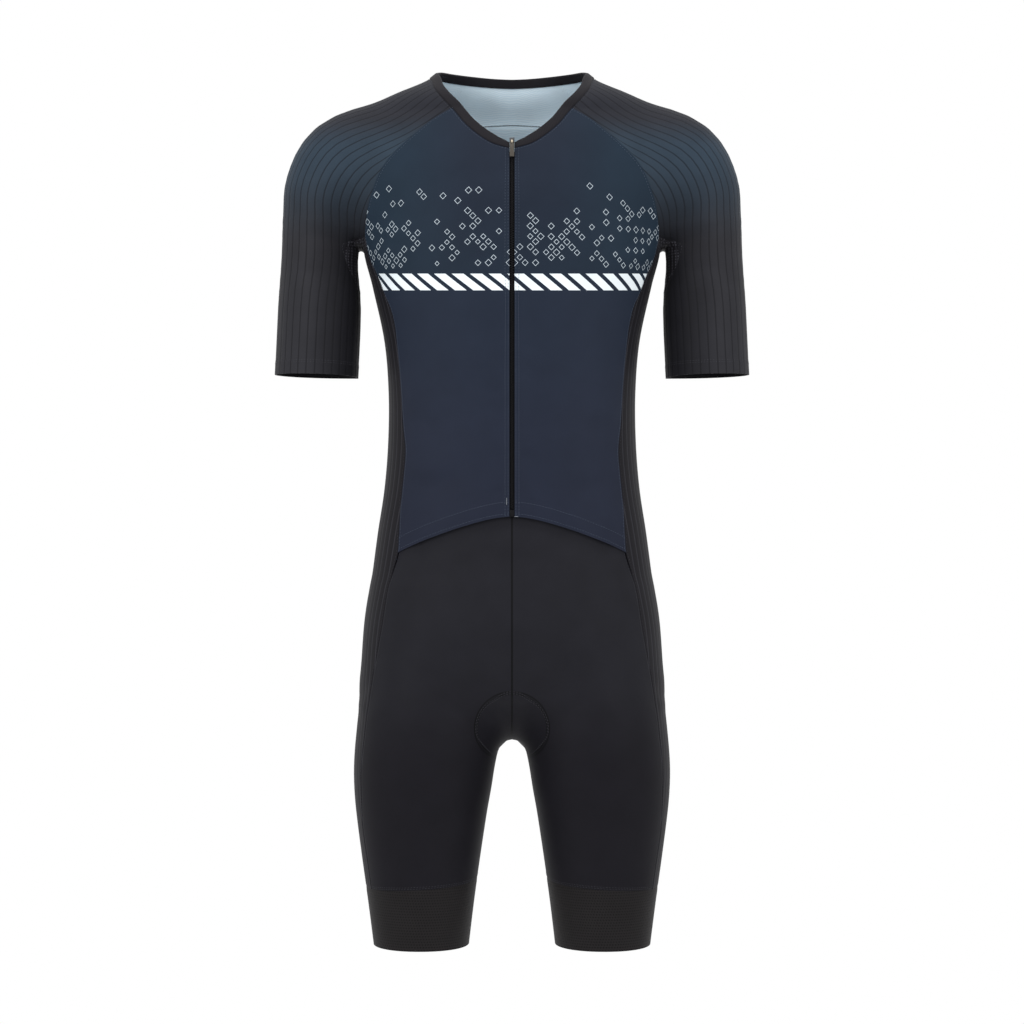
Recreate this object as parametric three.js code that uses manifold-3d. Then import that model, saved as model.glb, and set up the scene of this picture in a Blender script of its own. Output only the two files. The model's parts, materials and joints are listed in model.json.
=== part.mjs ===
// Triathlon suit in one piece, with raglan sleeves to the elbow and shorts to mid thigh.
// It is filled out and hollow. Every panel is a wall of cloth on one common body form.
// Millimetres, +Z up. The front faces -Y and the wearer's left is +X.
// The origin lies in the middle of the neck opening, at the height of the shoulders.
import * as THREE from "three";
import Module from "manifold-3d";
import { mergeVertices } from "three/addons/utils/BufferGeometryUtils.js";

// Driving dimensions
const CLOTH = 2;
const SEAM_GAP = 0.3;
const PANEL_COLUMNS = 8;
const SLEEVE_COLUMNS = 52;
const SIDE_COLUMNS = 16;
const SLEEVE_INNER = [0, 1, 2, 4, 8, 12, 16, 20, 24, 28, 32, 36, 40, 44, 48, 50, 51, 52];
const SIDE_INNER = [0, 2, 4, 6, 8, 10, 12, 14, 16];
const GRIPPER_SIDE_STEP = 4;
const RIB_HEIGHT = 0.6;
const NECK_AXIS_Y = 8;
const NECKLINE_FRONT_Z = -92;
const FRONT_CORNER_ANGLE = 41;
const BACK_CORNER_ANGLE = 138;
const ARMPIT = { x: 158, z: -180, middleZ: -192 };
const FRONT_HEM = { centre: -480, side: -518, halfWidth: 120, bend: 1.6, lift: 1.5 };
const FLAP_FADE = 45;
const SHORTS_RECESS = 3.7;
const RECESS_FADE = { start: 4, length: 26 };
const ZIP_OPENING_HALF = 2.7;
const YOKE_SEAM_CENTRE_Z = -42;
const WAIST_SEAM_CENTRE_Z = -450;
const CROTCH = { y: 8, z: -640 };
const LEG_HEM_Z = -943;
const BINDING = { width: 10, thickness: 3, proud: 0.6, sleeveStep: 2 };
const ZIP_TAPE = { near: 1.2, far: 14, depth: 2.3, thickness: 1, top: -95, bottom: -479 };
const ZIP_CHAIN = { half: 2.2, depth: 0.6, thickness: 1.4, top: -94, bottom: -472 };
const ZIP_BOX = { half: 2.3, depth: 0.3, thickness: 1.7, top: -473, bottom: -480 };
const SLIDER = { z: -86, width: 7, height: 10, plate: 1.2, front: 0.9, back: 2.8, wedge: 1.8, clearance: 0.3 };
const EYE = { inner: 0.9, outer: 1.9, width: 2 };
const PULL = { width: 4.8, length: 17.5, thickness: 1, windowHalf: 1.4, windowEnd: 2.4, round: 1.4 };
const PAD = { thickness: 7, edge: 2.5 };

// Trunk sections: half width, and depth in front of and behind the side plane
const TORSO = [
  { z: -45, half: 95, front: 62, back: 78 },
  { z: -75, half: 125, front: 78, back: 96 },
  { z: -110, half: 148, front: 94, back: 108 },
  { z: -150, half: 158, front: 105, back: 113 },
  { z: -190, half: 161, front: 110, back: 112 },
  { z: -230, half: 151.5, front: 109, back: 107 },
  { z: -290, half: 138.5, front: 103, back: 96 },
  { z: -345, half: 134, front: 97, back: 87 },
  { z: -400, half: 134.5, front: 93, back: 84 },
  { z: -450, half: 138.5, front: 93, back: 92 },
  { z: -500, half: 146, front: 96, back: 105 },
  { z: -560, half: 153.5, front: 99, back: 117 },
  { z: -620, half: 159, front: 96, back: 120 },
  { z: -665, half: 160, front: 78, back: 100 },
];
const PELVIS = { y: 8, z: -600, radiusX: 150, radiusY: 108, radiusZ: 115 };

// Leg sections, each about its own middle
const LEG = [
  { z: -560, middle: 70, half: 66, front: 78, back: 90 },
  { z: -620, middle: 76, half: 74, front: 86, back: 103 },
  { z: -680, middle: 85.5, half: 79, front: 92, back: 107 },
  { z: -720, middle: 91, half: 78.5, front: 91, back: 100 },
  { z: -750, middle: 95, half: 76.5, front: 88, back: 93 },
  { z: -775, middle: 96.8, half: 74.3, front: 84, back: 88 },
  { z: -800, middle: 98, half: 71, front: 80, back: 82 },
  { z: -850, middle: 98.6, half: 64, front: 72, back: 72 },
  { z: -900, middle: 98.6, half: 57, front: 65, back: 62 },
  { z: -990, middle: 98.2, half: 46, front: 54, back: 50 },
];

// Arm line from the neck over the shoulder and down to below the cuff
const ARM = [
  { x: 70, y: 14, z: -58, radius: 50 },
  { x: 130, y: 10, z: -76, radius: 50 },
  { x: 180, y: 6, z: -97, radius: 51.5 },
  { x: 197, y: 4, z: -124, radius: 49.5 },
  { x: 204, y: 3, z: -150, radius: 44.8 },
  { x: 209, y: 2, z: -200, radius: 41.5 },
  { x: 209.3, y: 2, z: -255, radius: 45 },
  { x: 214, y: 0, z: -360, radius: 45 },
];
const ARM_DEPTH = 1.12;
const NECK = { y: 12, radiusX: 72, radiusY: 62, top: 60, bottom: -80 };
const BLEND = { neckArm: 40, legs: 34, trunk: 24 };
const ARM_BLEND = { pit: 5, fold: 40, foldY: 50, shoulder: 65, pitZ: -195, shoulderZ: -110 };
const SECTION_POWER = { torso: 2.3, leg: 2.15 };

// Height of the neckline by angle from the middle front
const NECKLINE = [
  { angle: 0, z: NECKLINE_FRONT_Z },
  { angle: 13, z: -85.5 },
  { angle: 28, z: -67.5 },
  { angle: 38, z: -50.5 },
  { angle: 45, z: -39 },
  { angle: 52, z: -29 },
  { angle: 60, z: -20 },
  { angle: 70, z: -11 },
  { angle: 80, z: -5.5 },
  { angle: 90, z: -3 },
  { angle: 105, z: 0 },
  { angle: 120, z: 0 },
  { angle: 140, z: -1 },
  { angle: 160, z: -2 },
  { angle: 180, z: -2.5 },
];

// Raglan seams from the armpit up to the neckline corner, as seen from the front and back
const RAGLAN = [
  { frontX: 156, frontZ: -160, backX: 155, backZ: -148 },
  { frontX: 149, frontZ: -133, backX: 147, backZ: -115 },
  { frontX: 135.5, frontZ: -105, backX: 135, backZ: -90 },
  { frontX: 116.5, frontZ: -84.5, backX: 122, backZ: -70 },
  { frontX: 100, frontZ: -70, backX: 105, backZ: -50 },
  { frontX: 84, frontZ: -57, backX: 82, backZ: -25 },
];

// Side seams from the leg gripper up to the armpit: distance of each from the middle
const SIDE_SEAM = [
  { z: -880, front: 150.5, back: 150.5 },
  { z: -850, front: 154.5, back: 154.5 },
  { z: -815, front: 159.5, back: 159.5 },
  { z: -780, front: 160.7, back: 160.7 },
  { z: -762, front: 161.2, back: 161.2 },
  { z: -745, front: 160.6, back: 160.6 },
  { z: -730, front: 159.2, back: 159.6 },
  { z: -712, front: 157, back: 158 },
  { z: -685, front: 153.7, back: 154.8 },
  { z: -655, front: 149, back: 151 },
  { z: -625, front: 143.5, back: 147 },
  { z: -595, front: 138, back: 143 },
  { z: -565, front: 133.5, back: 139.5 },
  { z: -540, front: 127.5, back: 136 },
  { z: -518, front: 121.5, back: 132 },
  { z: -495, front: 120.2, back: 128 },
  { z: -470, front: 119, back: 124.2 },
  { z: -440, front: 116, back: 120 },
  { z: -410, front: 113.6, back: 118 },
  { z: -380, front: 116.5, back: 118.8 },
  { z: -340, front: 119, back: 121 },
  { z: -300, front: 122.5, back: 125 },
  { z: -265, front: 127.5, back: 131 },
  { z: -240, front: 137.2, back: 139.5 },
  { z: -222, front: 144.2, back: 145.2 },
  { z: -205, front: 152, back: 152 },
];
const seamRowAt = (z) => SIDE_SEAM.findIndex((row) => row.z === z);
const FRONT_HEM_ROW = seamRowAt(FRONT_HEM.side);
const WAIST_BACK_ROW = seamRowAt(-440);

// The side panel runs on over the armpit as a lens on the sleeve: its edge and its middle line
const GUSSET = [
  { edgeX: 175, edgeZ: -184, middleZ: -194 },
  { edgeX: 183, edgeZ: -188, middleZ: -203 },
  { edgeX: 179, edgeZ: -205, middleZ: -215 },
  { edgeX: 171, edgeZ: -222, middleZ: -228 },
];
const GUSSET_RIDGE = { x: 165, y: 26 };
const GUSSET_TIP = { z: -240, half: 0.5 };

// Inner edges of the shorts panels, up the inside leg and then the middle seam
const INSEAM_Z = [-870, -826, -786, -758, -738];
const SHORTS_FRONT_CENTRE_Z = [-717, -707, -692, -668, -640, -608, -580, -552, -524, -494, -464, -432, -400];
const SHORTS_BACK_CENTRE_Z = [-717, -707, -688, -664, -638, -610, -582, -556, -532, -507, -480, -450];
const GRIPPER_ROWS = [0, 0.3, 0.65, 1];

// Sleeve rows from the cuff up: outer line, axis point and the way along the arm
const SLEEVE_ROWS = [
  { outerZ: -326, axisX: 213, axisZ: -326, lean: 0 },
  { outerZ: -297, axisX: 211, axisZ: -297, lean: 0 },
  { outerZ: -270, axisX: 210, axisZ: -270, lean: 0 },
  { outerZ: -245, axisX: 209, axisZ: -240, lean: 3 },
  { outerZ: -224, axisX: 208, axisZ: -222, lean: 6 },
  { outerZ: -205, axisX: 207, axisZ: -205, lean: 10 },
  { outerZ: -186, axisX: 205, axisZ: -188, lean: 16 },
  { outerZ: -168, axisX: 203, axisZ: -175, lean: 22 },
  { outerZ: -150, axisX: 200, axisZ: -160, lean: 30 },
  { outerZ: -132, axisX: 196, axisZ: -145, lean: 40 },
  { outerZ: -108, axisX: 189, axisZ: -128, lean: 50 },
  { outerZ: -84, axisX: 178, axisZ: -112, lean: 60 },
  { topX: 203, axisX: 163, axisZ: -98, lean: 68 },
  { topX: 176, axisX: 146, axisZ: -88, lean: 72 },
  { topX: 148, axisX: 126, axisZ: -78, lean: 74 },
  { topX: 118, axisX: 104, axisZ: -70, lean: 74 },
];
const CUFF_UNDERARM_Z = [-330, -301, -272];

// How many columns of the shorts panels the seat pad covers, on each span between their rows
const PAD_SPANS = [
  { span: 3, front: 1, back: 1 },
  { span: 4, front: 2, back: 2 },
  { span: 5, front: 2, back: 2 },
  { span: 6, front: 2, back: 2 },
  { span: 7, front: 2, back: 3 },
  { span: 8, front: 1, back: 3 },
  { span: 9, front: 0, back: 2 },
];

const COLOURS = {
  front: 0x2d3544, sleeve: 0x2c2b30, side: 0x232327, shorts: 0x24252b, gripper: 0x2a2725,
  binding: 0x1f1c20, tape: 0x1b1c20, teeth: 0x121316, metal: 0x3a3b3f, pad: 0x303238,
};

// Small helpers
const vector = (x, y, z) => new THREE.Vector3(x, y, z);
const mix = (a, b, t) => a + (b - a) * t;
const radians = (degrees) => (degrees * Math.PI) / 180;

function smoothstep(low, high, value) {
  const t = Math.min(Math.max((value - low) / (high - low), 0), 1);
  return t * t * (3 - 2 * t);
}

// A smooth curve through one column of a table, read against another column
function tableAt(table, key, column, value) {
  const rising = table[1][key] > table[0][key];
  const passed = (row) => (rising ? row[key] <= value : row[key] >= value);
  let i = 0;
  while (i < table.length - 2 && passed(table[i + 1])) i += 1;
  const last = table.length - 1;
  const slope = (k) => {
    const before = table[Math.max(k - 1, 0)];
    const after = table[Math.min(k + 1, last)];
    return (after[column] - before[column]) / (after[key] - before[key]);
  };
  const step = table[i + 1][key] - table[i][key];
  const t = Math.min(Math.max((value - table[i][key]) / step, 0), 1);
  const start = table[i][column];
  const end = table[i + 1][column];
  const cubic = t * t * (3 - 2 * t);
  return mix(start, end, cubic) + step * t * (1 - t) * ((1 - t) * slope(i) - t * slope(i + 1));
}

// The body form: negative inside, zero on the outer face of the cloth
function blendMin(a, b, width) {
  const h = Math.max(width - Math.abs(a - b), 0) / width;
  return Math.min(a, b) - (h * h * width) / 4;
}

function sectionDistance(x, y, half, front, back, power) {
  const depth = y < 0 ? front : back;
  const radius = Math.hypot(x, y);
  if (radius < 1e-6) return -Math.min(half, depth);
  const ratio = ((Math.abs(x) / half) ** power + (Math.abs(y) / depth) ** power) ** (1 / power);
  return radius * (1 - 1 / ratio);
}

function capped(side, end) {
  return Math.min(Math.max(side, end), 0) + Math.hypot(Math.max(side, 0), Math.max(end, 0));
}

function torsoDistance(x, y, z) {
  const level = (column) => tableAt(TORSO, "z", column, z);
  const side = sectionDistance(x, y, level("half"), level("front"), level("back"), SECTION_POWER.torso);
  const end = Math.max(z - TORSO[0].z, TORSO[TORSO.length - 1].z - z);
  return capped(side, end);
}

function pelvisDistance(x, y, z) {
  const u = x / PELVIS.radiusX;
  const v = (y - PELVIS.y) / PELVIS.radiusY;
  const w = (z - PELVIS.z) / PELVIS.radiusZ;
  const ratio = Math.hypot(u, v, w);
  if (ratio < 1e-6) return -PELVIS.radiusY;
  return Math.hypot(x, y - PELVIS.y, z - PELVIS.z) * (1 - 1 / ratio);
}

function legDistance(x, y, z, side) {
  const level = (column) => tableAt(LEG, "z", column, z);
  const dx = x - side * level("middle");
  const wall = sectionDistance(dx, y, level("half"), level("front"), level("back"), SECTION_POWER.leg);
  return capped(wall, Math.max(z - LEG[0].z, LEG[LEG.length - 1].z - z));
}

// The arm line is a smooth curve through its table, cut into short tapered rods
const ARM_RODS = (() => {
  const curve = new THREE.CatmullRomCurve3(ARM.map((row) => vector(row.x, row.y, row.z)), false, "centripetal");
  const points = [];
  const steps = 4 * (ARM.length - 1);
  for (let i = 0; i <= steps; i += 1) {
    const at = curve.getPoint(i / steps);
    const radius = tableAt(ARM.map((row, k) => ({ k, radius: row.radius })), "k", "radius", i / 4);
    points.push({ at, radius });
  }
  return points;
})();

function armDistance(x, y, z) {
  let nearest = Infinity;
  for (let i = 0; i + 1 < ARM_RODS.length; i += 1) {
    const a = ARM_RODS[i];
    const b = ARM_RODS[i + 1];
    const ax = b.at.x - a.at.x;
    const ay = (b.at.y - a.at.y) / ARM_DEPTH;
    const az = b.at.z - a.at.z;
    const px = x - a.at.x;
    const py = (y - a.at.y) / ARM_DEPTH;
    const pz = z - a.at.z;
    const along = (px * ax + py * ay + pz * az) / (ax * ax + ay * ay + az * az);
    const t = Math.min(Math.max(along, 0), 1);
    const distance = Math.hypot(px - ax * t, py - ay * t, pz - az * t) - mix(a.radius, b.radius, t);
    nearest = Math.min(nearest, distance);
  }
  return nearest;
}

function neckDistance(x, y, z) {
  const side = sectionDistance(x, y - NECK.y, NECK.radiusX, NECK.radiusY, NECK.radiusY, 2);
  return capped(side, Math.max(z - NECK.top, NECK.bottom - z));
}

function bodyDistance(x, y, z) {
  const legs = blendMin(legDistance(x, y, z, 1), legDistance(x, y, z, -1), BLEND.legs);
  const torso = blendMin(torsoDistance(x, y, z), pelvisDistance(x, y, z), BLEND.trunk);
  const trunk = blendMin(torso, legs, BLEND.trunk);
  const arms = Math.min(armDistance(x, y, z), armDistance(-x, y, z));
  const shoulders = blendMin(neckDistance(x, y, z), arms, BLEND.neckArm);
  const low = mix(ARM_BLEND.pit, ARM_BLEND.fold, smoothstep(0, ARM_BLEND.foldY, Math.abs(y)));
  const rise = smoothstep(ARM_BLEND.pitZ, ARM_BLEND.shoulderZ, z);
  return blendMin(trunk, shoulders, mix(low, ARM_BLEND.shoulder, rise));
}

// Finding points on the form
function gradient(p) {
  const h = 0.05;
  return vector(
    bodyDistance(p.x + h, p.y, p.z) - bodyDistance(p.x - h, p.y, p.z),
    bodyDistance(p.x, p.y + h, p.z) - bodyDistance(p.x, p.y - h, p.z),
    bodyDistance(p.x, p.y, p.z + h) - bodyDistance(p.x, p.y, p.z - h),
  ).divideScalar(2 * h);
}

const normalAt = (p) => gradient(p).normalize();

function settle(point) {
  const p = point.clone();
  for (let i = 0; i < 6; i += 1) {
    const slope = gradient(p);
    const move = bodyDistance(p.x, p.y, p.z) / Math.max(slope.lengthSq(), 0.2);
    p.addScaledVector(slope, -Math.min(Math.max(move, -8), 8));
  }
  return p;
}

// March from a point until the form's sign changes, then close in on the surface
function castFrom(origin, direction) {
  const way = direction.clone().normalize();
  const at = (t) => bodyDistance(origin.x + way.x * t, origin.y + way.y * t, origin.z + way.z * t);
  const inside = at(0) < 0;
  let low = 0;
  let high = 0;
  while (at(high) < 0 === inside && high < 900) {
    low = high;
    high += Math.max(0.6 * Math.abs(at(high)), 0.8);
  }
  for (let i = 0; i < 26; i += 1) {
    const middle = (low + high) / 2;
    if (at(middle) < 0 === inside) low = middle;
    else high = middle;
  }
  return origin.clone().addScaledVector(way, (low + high) / 2);
}

const frontPoint = (x, z) => castFrom(vector(x, -260, z), vector(0, 1, 0));
const backPoint = (x, z) => castFrom(vector(x, 260, z), vector(0, -1, 0));
const around = (degrees) => vector(Math.sin(radians(degrees)), -Math.cos(radians(degrees)), 0);

function necklinePoint(degrees) {
  const z = tableAt(NECKLINE, "angle", "z", degrees > 180 ? 360 - degrees : degrees);
  return castFrom(vector(0, NECK_AXIS_Y, z), around(degrees));
}

// Step along the surface from a point, keeping straight ahead
function walk(start, heading, length, steps) {
  const path = [start];
  let way = heading.clone();
  for (let i = 0; i < steps; i += 1) {
    const here = path[path.length - 1];
    const normal = normalAt(here);
    way = way.addScaledVector(normal, -way.dot(normal)).normalize();
    const next = settle(here.clone().addScaledVector(way, length / steps));
    way = next.clone().sub(here).normalize();
    path.push(next);
  }
  return path;
}

// Rows of points from one edge to the other, by angle about an upright axis
function rowAround(axis, start, end, count, bend = 1, wrap = false) {
  const angleOf = (p) => {
    const angle = Math.atan2(p.x - axis.x, axis.y - p.y);
    return wrap && angle < 0 ? angle + 2 * Math.PI : angle;
  };
  const from = angleOf(start);
  const to = angleOf(end);
  const row = [start];
  for (let i = 1; i < count; i += 1) {
    const t = i / count;
    const angle = mix(from, to, t);
    const origin = vector(axis.x, axis.y, mix(start.z, end.z, t ** bend));
    row.push(castFrom(origin, vector(Math.sin(angle), -Math.cos(angle), 0)));
  }
  row.push(end);
  return row;
}

// Rows over three given points
function rowThrough(start, middle, end, count) {
  const row = [start];
  for (let i = 1; i < count; i += 1) {
    const t = i / count;
    const p = start.clone().multiplyScalar((1 - t) * (1 - 2 * t));
    p.addScaledVector(middle, 4 * t * (1 - t)).addScaledVector(end, t * (2 * t - 1));
    row.push(settle(p));
  }
  row.push(end);
  return row;
}

// Even out the inner points of a grid while its edges stay
function relax(grid, rounds) {
  for (let round = 0; round < rounds; round += 1) {
    for (let r = 1; r + 1 < grid.length; r += 1) {
      for (let c = 1; c + 1 < grid[r].length; c += 1) {
        const sum = vector(0, 0, 0).add(grid[r - 1][c]).add(grid[r + 1][c]);
        sum.add(grid[r][c - 1]).add(grid[r][c + 1]).multiplyScalar(0.25);
        grid[r][c] = settle(sum.lerp(grid[r][c], 0.4));
      }
    }
  }
  return grid;
}

// Pull a grid's sewn edges back in the surface, each by its number of half seam gaps
function pullEdges(cells, edges) {
  const rows = cells.length;
  const columns = cells[0].length;
  const shift = (gaps, r, c, inwardR, inwardC) => {
    const alongR = Math.abs(inwardC);
    const alongC = Math.abs(inwardR);
    const cell = cells[r][c];
    const inward = cells[r + inwardR][c + inwardC].at.clone().sub(cell.at);
    const r0 = Math.min(Math.max(r - alongR, 0), rows - 1);
    const r1 = Math.min(Math.max(r + alongR, 0), rows - 1);
    const c0 = Math.min(Math.max(c - alongC, 0), columns - 1);
    const c1 = Math.min(Math.max(c + alongC, 0), columns - 1);
    const tangent = cells[r1][c1].at.clone().sub(cells[r0][c0].at);
    const way = tangent.cross(cell.normal).normalize();
    if (way.dot(inward) < 0) way.negate();
    return way.multiplyScalar((gaps * SEAM_GAP) / 2);
  };
  const moves = [];
  for (let r = 0; r < rows; r += 1) {
    if (edges.start) moves.push([r, 0, shift(edges.start, r, 0, 0, 1)]);
    if (edges.end) moves.push([r, columns - 1, shift(edges.end, r, columns - 1, 0, -1)]);
  }
  for (let c = 0; c < columns; c += 1) {
    if (edges.bottom) moves.push([0, c, shift(edges.bottom, 0, c, 1, 0)]);
    if (edges.top) moves.push([rows - 1, c, shift(edges.top, rows - 1, c, -1, 0)]);
  }
  for (const [r, c, move] of moves) cells[r][c].at.add(move);
}

// A closed wall on a grid of points. The outer face may carry ribs over a plainer inner face.
function wallGeometry(grid, options = {}) {
  const { base = () => 0, rib = () => 0, thickness = () => CLOTH, closed = false, edges = {} } = options;
  const turnFrom = options.symmetric ? (grid[0].length - 1) / 2 : Infinity;
  const rows = grid.length;
  const columns = grid[0].length;
  const kept = options.innerColumns ?? grid[0].map((p, c) => c);
  const cells = grid.map((row) => row.map((at) => ({ at: at.clone(), normal: normalAt(at) })));
  pullEdges(cells, edges);
  const positions = [];
  const put = (cell, offset) => {
    const p = cell.at.clone().addScaledVector(cell.normal, offset);
    positions.push(p.x, p.y, p.z);
    return positions.length / 3 - 1;
  };
  const outer = cells.map((row, r) => row.map((cell, c) => put(cell, base(cell.at, r, c) + rib(r, c))));
  const inner = cells.map((row, r) => kept.map((c) => put(row[c], base(row[c].at, r, c) - thickness(r, c))));
  const faces = [];
  const quad = (a, b, c, d, turned) => (turned ? [[a, b, d], [b, c, d]] : [[a, b, c], [a, c, d]]);
  const outerSpans = closed ? columns : columns - 1;
  const innerColumns = inner[0].length;
  const innerSpans = closed ? innerColumns : innerColumns - 1;
  for (let r = 0; r + 1 < rows; r += 1) {
    for (let c = 0; c < outerSpans; c += 1) {
      const d = (c + 1) % columns;
      faces.push(...quad(outer[r][c], outer[r][d], outer[r + 1][d], outer[r + 1][c], c >= turnFrom));
    }
    for (let j = 0; j < innerSpans; j += 1) {
      const k = (j + 1) % innerColumns;
      faces.push(...quad(inner[r + 1][j], inner[r + 1][k], inner[r][k], inner[r][j], kept[j] < turnFrom));
    }
    if (closed) continue;
    const e = columns - 1;
    const f = innerColumns - 1;
    const mirrored = Boolean(options.symmetric);
    faces.push(...quad(outer[r][0], outer[r + 1][0], inner[r + 1][0], inner[r][0], mirrored));
    faces.push(...quad(outer[r + 1][e], outer[r][e], inner[r][f], inner[r + 1][f], false));
  }
  const rim = (r, flip) => {
    const add = (a, b, c) => faces.push(flip ? [a, c, b] : [a, b, c]);
    for (let j = 0; j < innerSpans; j += 1) {
      const k = (j + 1) % innerColumns;
      const first = kept[j];
      const last = k > j ? kept[k] : columns;
      const middle = first + Math.ceil((last - first) / 2);
      for (let c = first; c < last; c += 1) {
        const a = outer[r][c];
        const b = outer[r][(c + 1) % columns];
        if (c === middle) add(a, inner[r][j], inner[r][k]);
        add(b, a, c < middle ? inner[r][j] : inner[r][k]);
      }
      if (middle >= last) add(outer[r][last % columns], inner[r][j], inner[r][k]);
    }
  };
  rim(0, false);
  rim(rows - 1, true);
  return solidFrom(positions, faces);
}

// Build an indexed geometry and turn it to face out if it faces in
function solidFrom(positions, faces) {
  const point = (i) => vector(positions[3 * i], positions[3 * i + 1], positions[3 * i + 2]);
  let volume = 0;
  for (const [a, b, c] of faces) volume += point(a).dot(point(b).cross(point(c)));
  const turned = volume < 0 ? faces.map(([a, b, c]) => [a, c, b]) : faces;
  const geometry = new THREE.BufferGeometry();
  geometry.setAttribute("position", new THREE.Float32BufferAttribute(positions, 3));
  geometry.setIndex(turned.flat());
  geometry.computeVertexNormals();
  return geometry;
}

const mirrorRow = (row) => row.map((p) => vector(-p.x, p.y, p.z));
const mirrorGrid = (grid) => grid.map(mirrorRow);

function material(colour, roughness = 0.8, metalness = 0) {
  return new THREE.MeshStandardMaterial({ color: colour, roughness, metalness });
}

const suit = new THREE.Group();

function addMesh(name, geometry, finish, parent = suit) {
  const mesh = new THREE.Mesh(geometry, finish);
  mesh.name = name;
  parent.add(mesh);
}

function addPair(name, grid, options, colour) {
  addMesh(`${name}_left`, wallGeometry(grid, options), material(colour));
  addMesh(`${name}_right`, wallGeometry(mirrorGrid(grid), options), material(colour));
}

// Seams that the panels share
const frontSeam = SIDE_SEAM.map((row) => frontPoint(row.front, row.z));
const backSeam = SIDE_SEAM.map((row) => backPoint(row.back, row.z));
const armpitFront = frontPoint(ARMPIT.x, ARMPIT.z);
const armpitBack = backPoint(ARMPIT.x, ARMPIT.z);
const raglanFront = RAGLAN.map((row) => frontPoint(row.frontX, row.frontZ));
const raglanBack = RAGLAN.map((row) => backPoint(row.backX, row.backZ));
raglanFront.push(necklinePoint(FRONT_CORNER_ANGLE));
raglanBack.push(necklinePoint(BACK_CORNER_ANGLE));
const ceiling = (y) => castFrom(vector(GUSSET_RIDGE.x, y, ARMPIT.z - 25), vector(0, 0, 1));
const gussetFront = [ceiling(-GUSSET_RIDGE.y), ...GUSSET.map((row) => frontPoint(row.edgeX, row.edgeZ))];
const gussetBack = [ceiling(GUSSET_RIDGE.y), ...GUSSET.map((row) => backPoint(row.edgeX, row.edgeZ))];
const underarm = (y, z) => castFrom(vector(209, y, z), vector(-1, 0, 0));
gussetFront.push(underarm(-GUSSET_TIP.half, GUSSET_TIP.z));
gussetBack.push(underarm(GUSSET_TIP.half, GUSSET_TIP.z));

// The loose hem of the fronts and how far the cloth stands off there
function hemHeight(x) {
  const share = (Math.abs(x) / FRONT_HEM.halfWidth) ** FRONT_HEM.bend;
  return mix(FRONT_HEM.centre, FRONT_HEM.side, share);
}

function flapLift(p) {
  const low = smoothstep(hemHeight(p.x) + FLAP_FADE, hemHeight(p.x), p.z);
  const clearOfSeam = 1 - smoothstep(FRONT_HEM.halfWidth - 25, FRONT_HEM.halfWidth - 2, Math.abs(p.x));
  return FRONT_HEM.lift * low * clearOfSeam;
}

function shortsRecess(p) {
  const top = hemHeight(p.x) - RECESS_FADE.start;
  return -SHORTS_RECESS * smoothstep(top - RECESS_FADE.length, top, p.z);
}

// Fronts: from the loose hem up to the raglan seam and the neckline
const trunkAxis = { x: 0, y: NECK_AXIS_Y };
const zipEdge = (x, z) => castFrom(vector(x, NECK_AXIS_Y, z), vector(0, -1, 0));

function frontGrid() {
  const side = [...frontSeam.slice(FRONT_HEM_ROW), armpitFront, ...raglanFront];
  const sewnRows = side.length - raglanFront.length;
  const grid = side.map((end, r) => {
    const low = r < sewnRows;
    const t = low ? (end.z - ARMPIT.z) / (FRONT_HEM.side - ARMPIT.z) : (r - sewnRows + 1) / raglanFront.length;
    const drop = FRONT_HEM.centre - FRONT_HEM.side;
    const centre = low ? end.z + drop * t : mix(ARMPIT.z, NECKLINE_FRONT_Z, t);
    const bend = low ? mix(1, FRONT_HEM.bend, t) : mix(1, 1.4, t);
    return rowAround(trunkAxis, zipEdge(ZIP_OPENING_HALF, centre), end, PANEL_COLUMNS, bend);
  });
  const top = grid[grid.length - 1];
  const startAngle = (Math.atan2(top[0].x, NECK_AXIS_Y - top[0].y) * 180) / Math.PI;
  grid[grid.length - 1] = top.map((p, c) => {
    const inner = c > 0 && c < PANEL_COLUMNS;
    return inner ? necklinePoint(mix(startAngle, FRONT_CORNER_ANGLE, c / PANEL_COLUMNS)) : p;
  });
  return relax(grid, 12);
}

// Back and yoke: half rows from the middle out, then mirrored to full width
function fullRow(half) {
  return [...mirrorRow(half).reverse(), ...half.slice(1)];
}

function backRow(centreZ, side, bend = 1.5) {
  const centre = castFrom(vector(0, NECK_AXIS_Y, centreZ), vector(0, 1, 0));
  return fullRow(rowAround(trunkAxis, centre, side, PANEL_COLUMNS, bend, true));
}

const yokeSeamIndex = RAGLAN.length - 2;
const yokeSeamRow = backRow(YOKE_SEAM_CENTRE_Z, raglanBack[yokeSeamIndex]);

function backGrid() {
  const low = backSeam.slice(WAIST_BACK_ROW);
  const waistZ = low[0].z;
  const lowRows = [...low, armpitBack].map((side) => {
    const t = (side.z - ARMPIT.z) / (waistZ - ARMPIT.z);
    return backRow(side.z + (WAIST_SEAM_CENTRE_Z - waistZ) * t, side);
  });
  const highRows = raglanBack.slice(0, yokeSeamIndex).map((side, i) => {
    const centreZ = mix(ARMPIT.z, YOKE_SEAM_CENTRE_Z, (i + 1) / (yokeSeamIndex + 1));
    return backRow(centreZ, side);
  });
  return relax([...lowRows, ...highRows, yokeSeamRow], 12);
}

function yokeGrid() {
  const neckRow = yokeSeamRow.map((p, c) => {
    const t = c / (2 * PANEL_COLUMNS);
    return necklinePoint(mix(360 - BACK_CORNER_ANGLE, BACK_CORNER_ANGLE, t));
  });
  const middleZ = (YOKE_SEAM_CENTRE_Z + neckRow[PANEL_COLUMNS].z) / 2;
  return relax([yokeSeamRow, backRow(middleZ, raglanBack[yokeSeamIndex + 1]), neckRow], 6);
}

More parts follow.
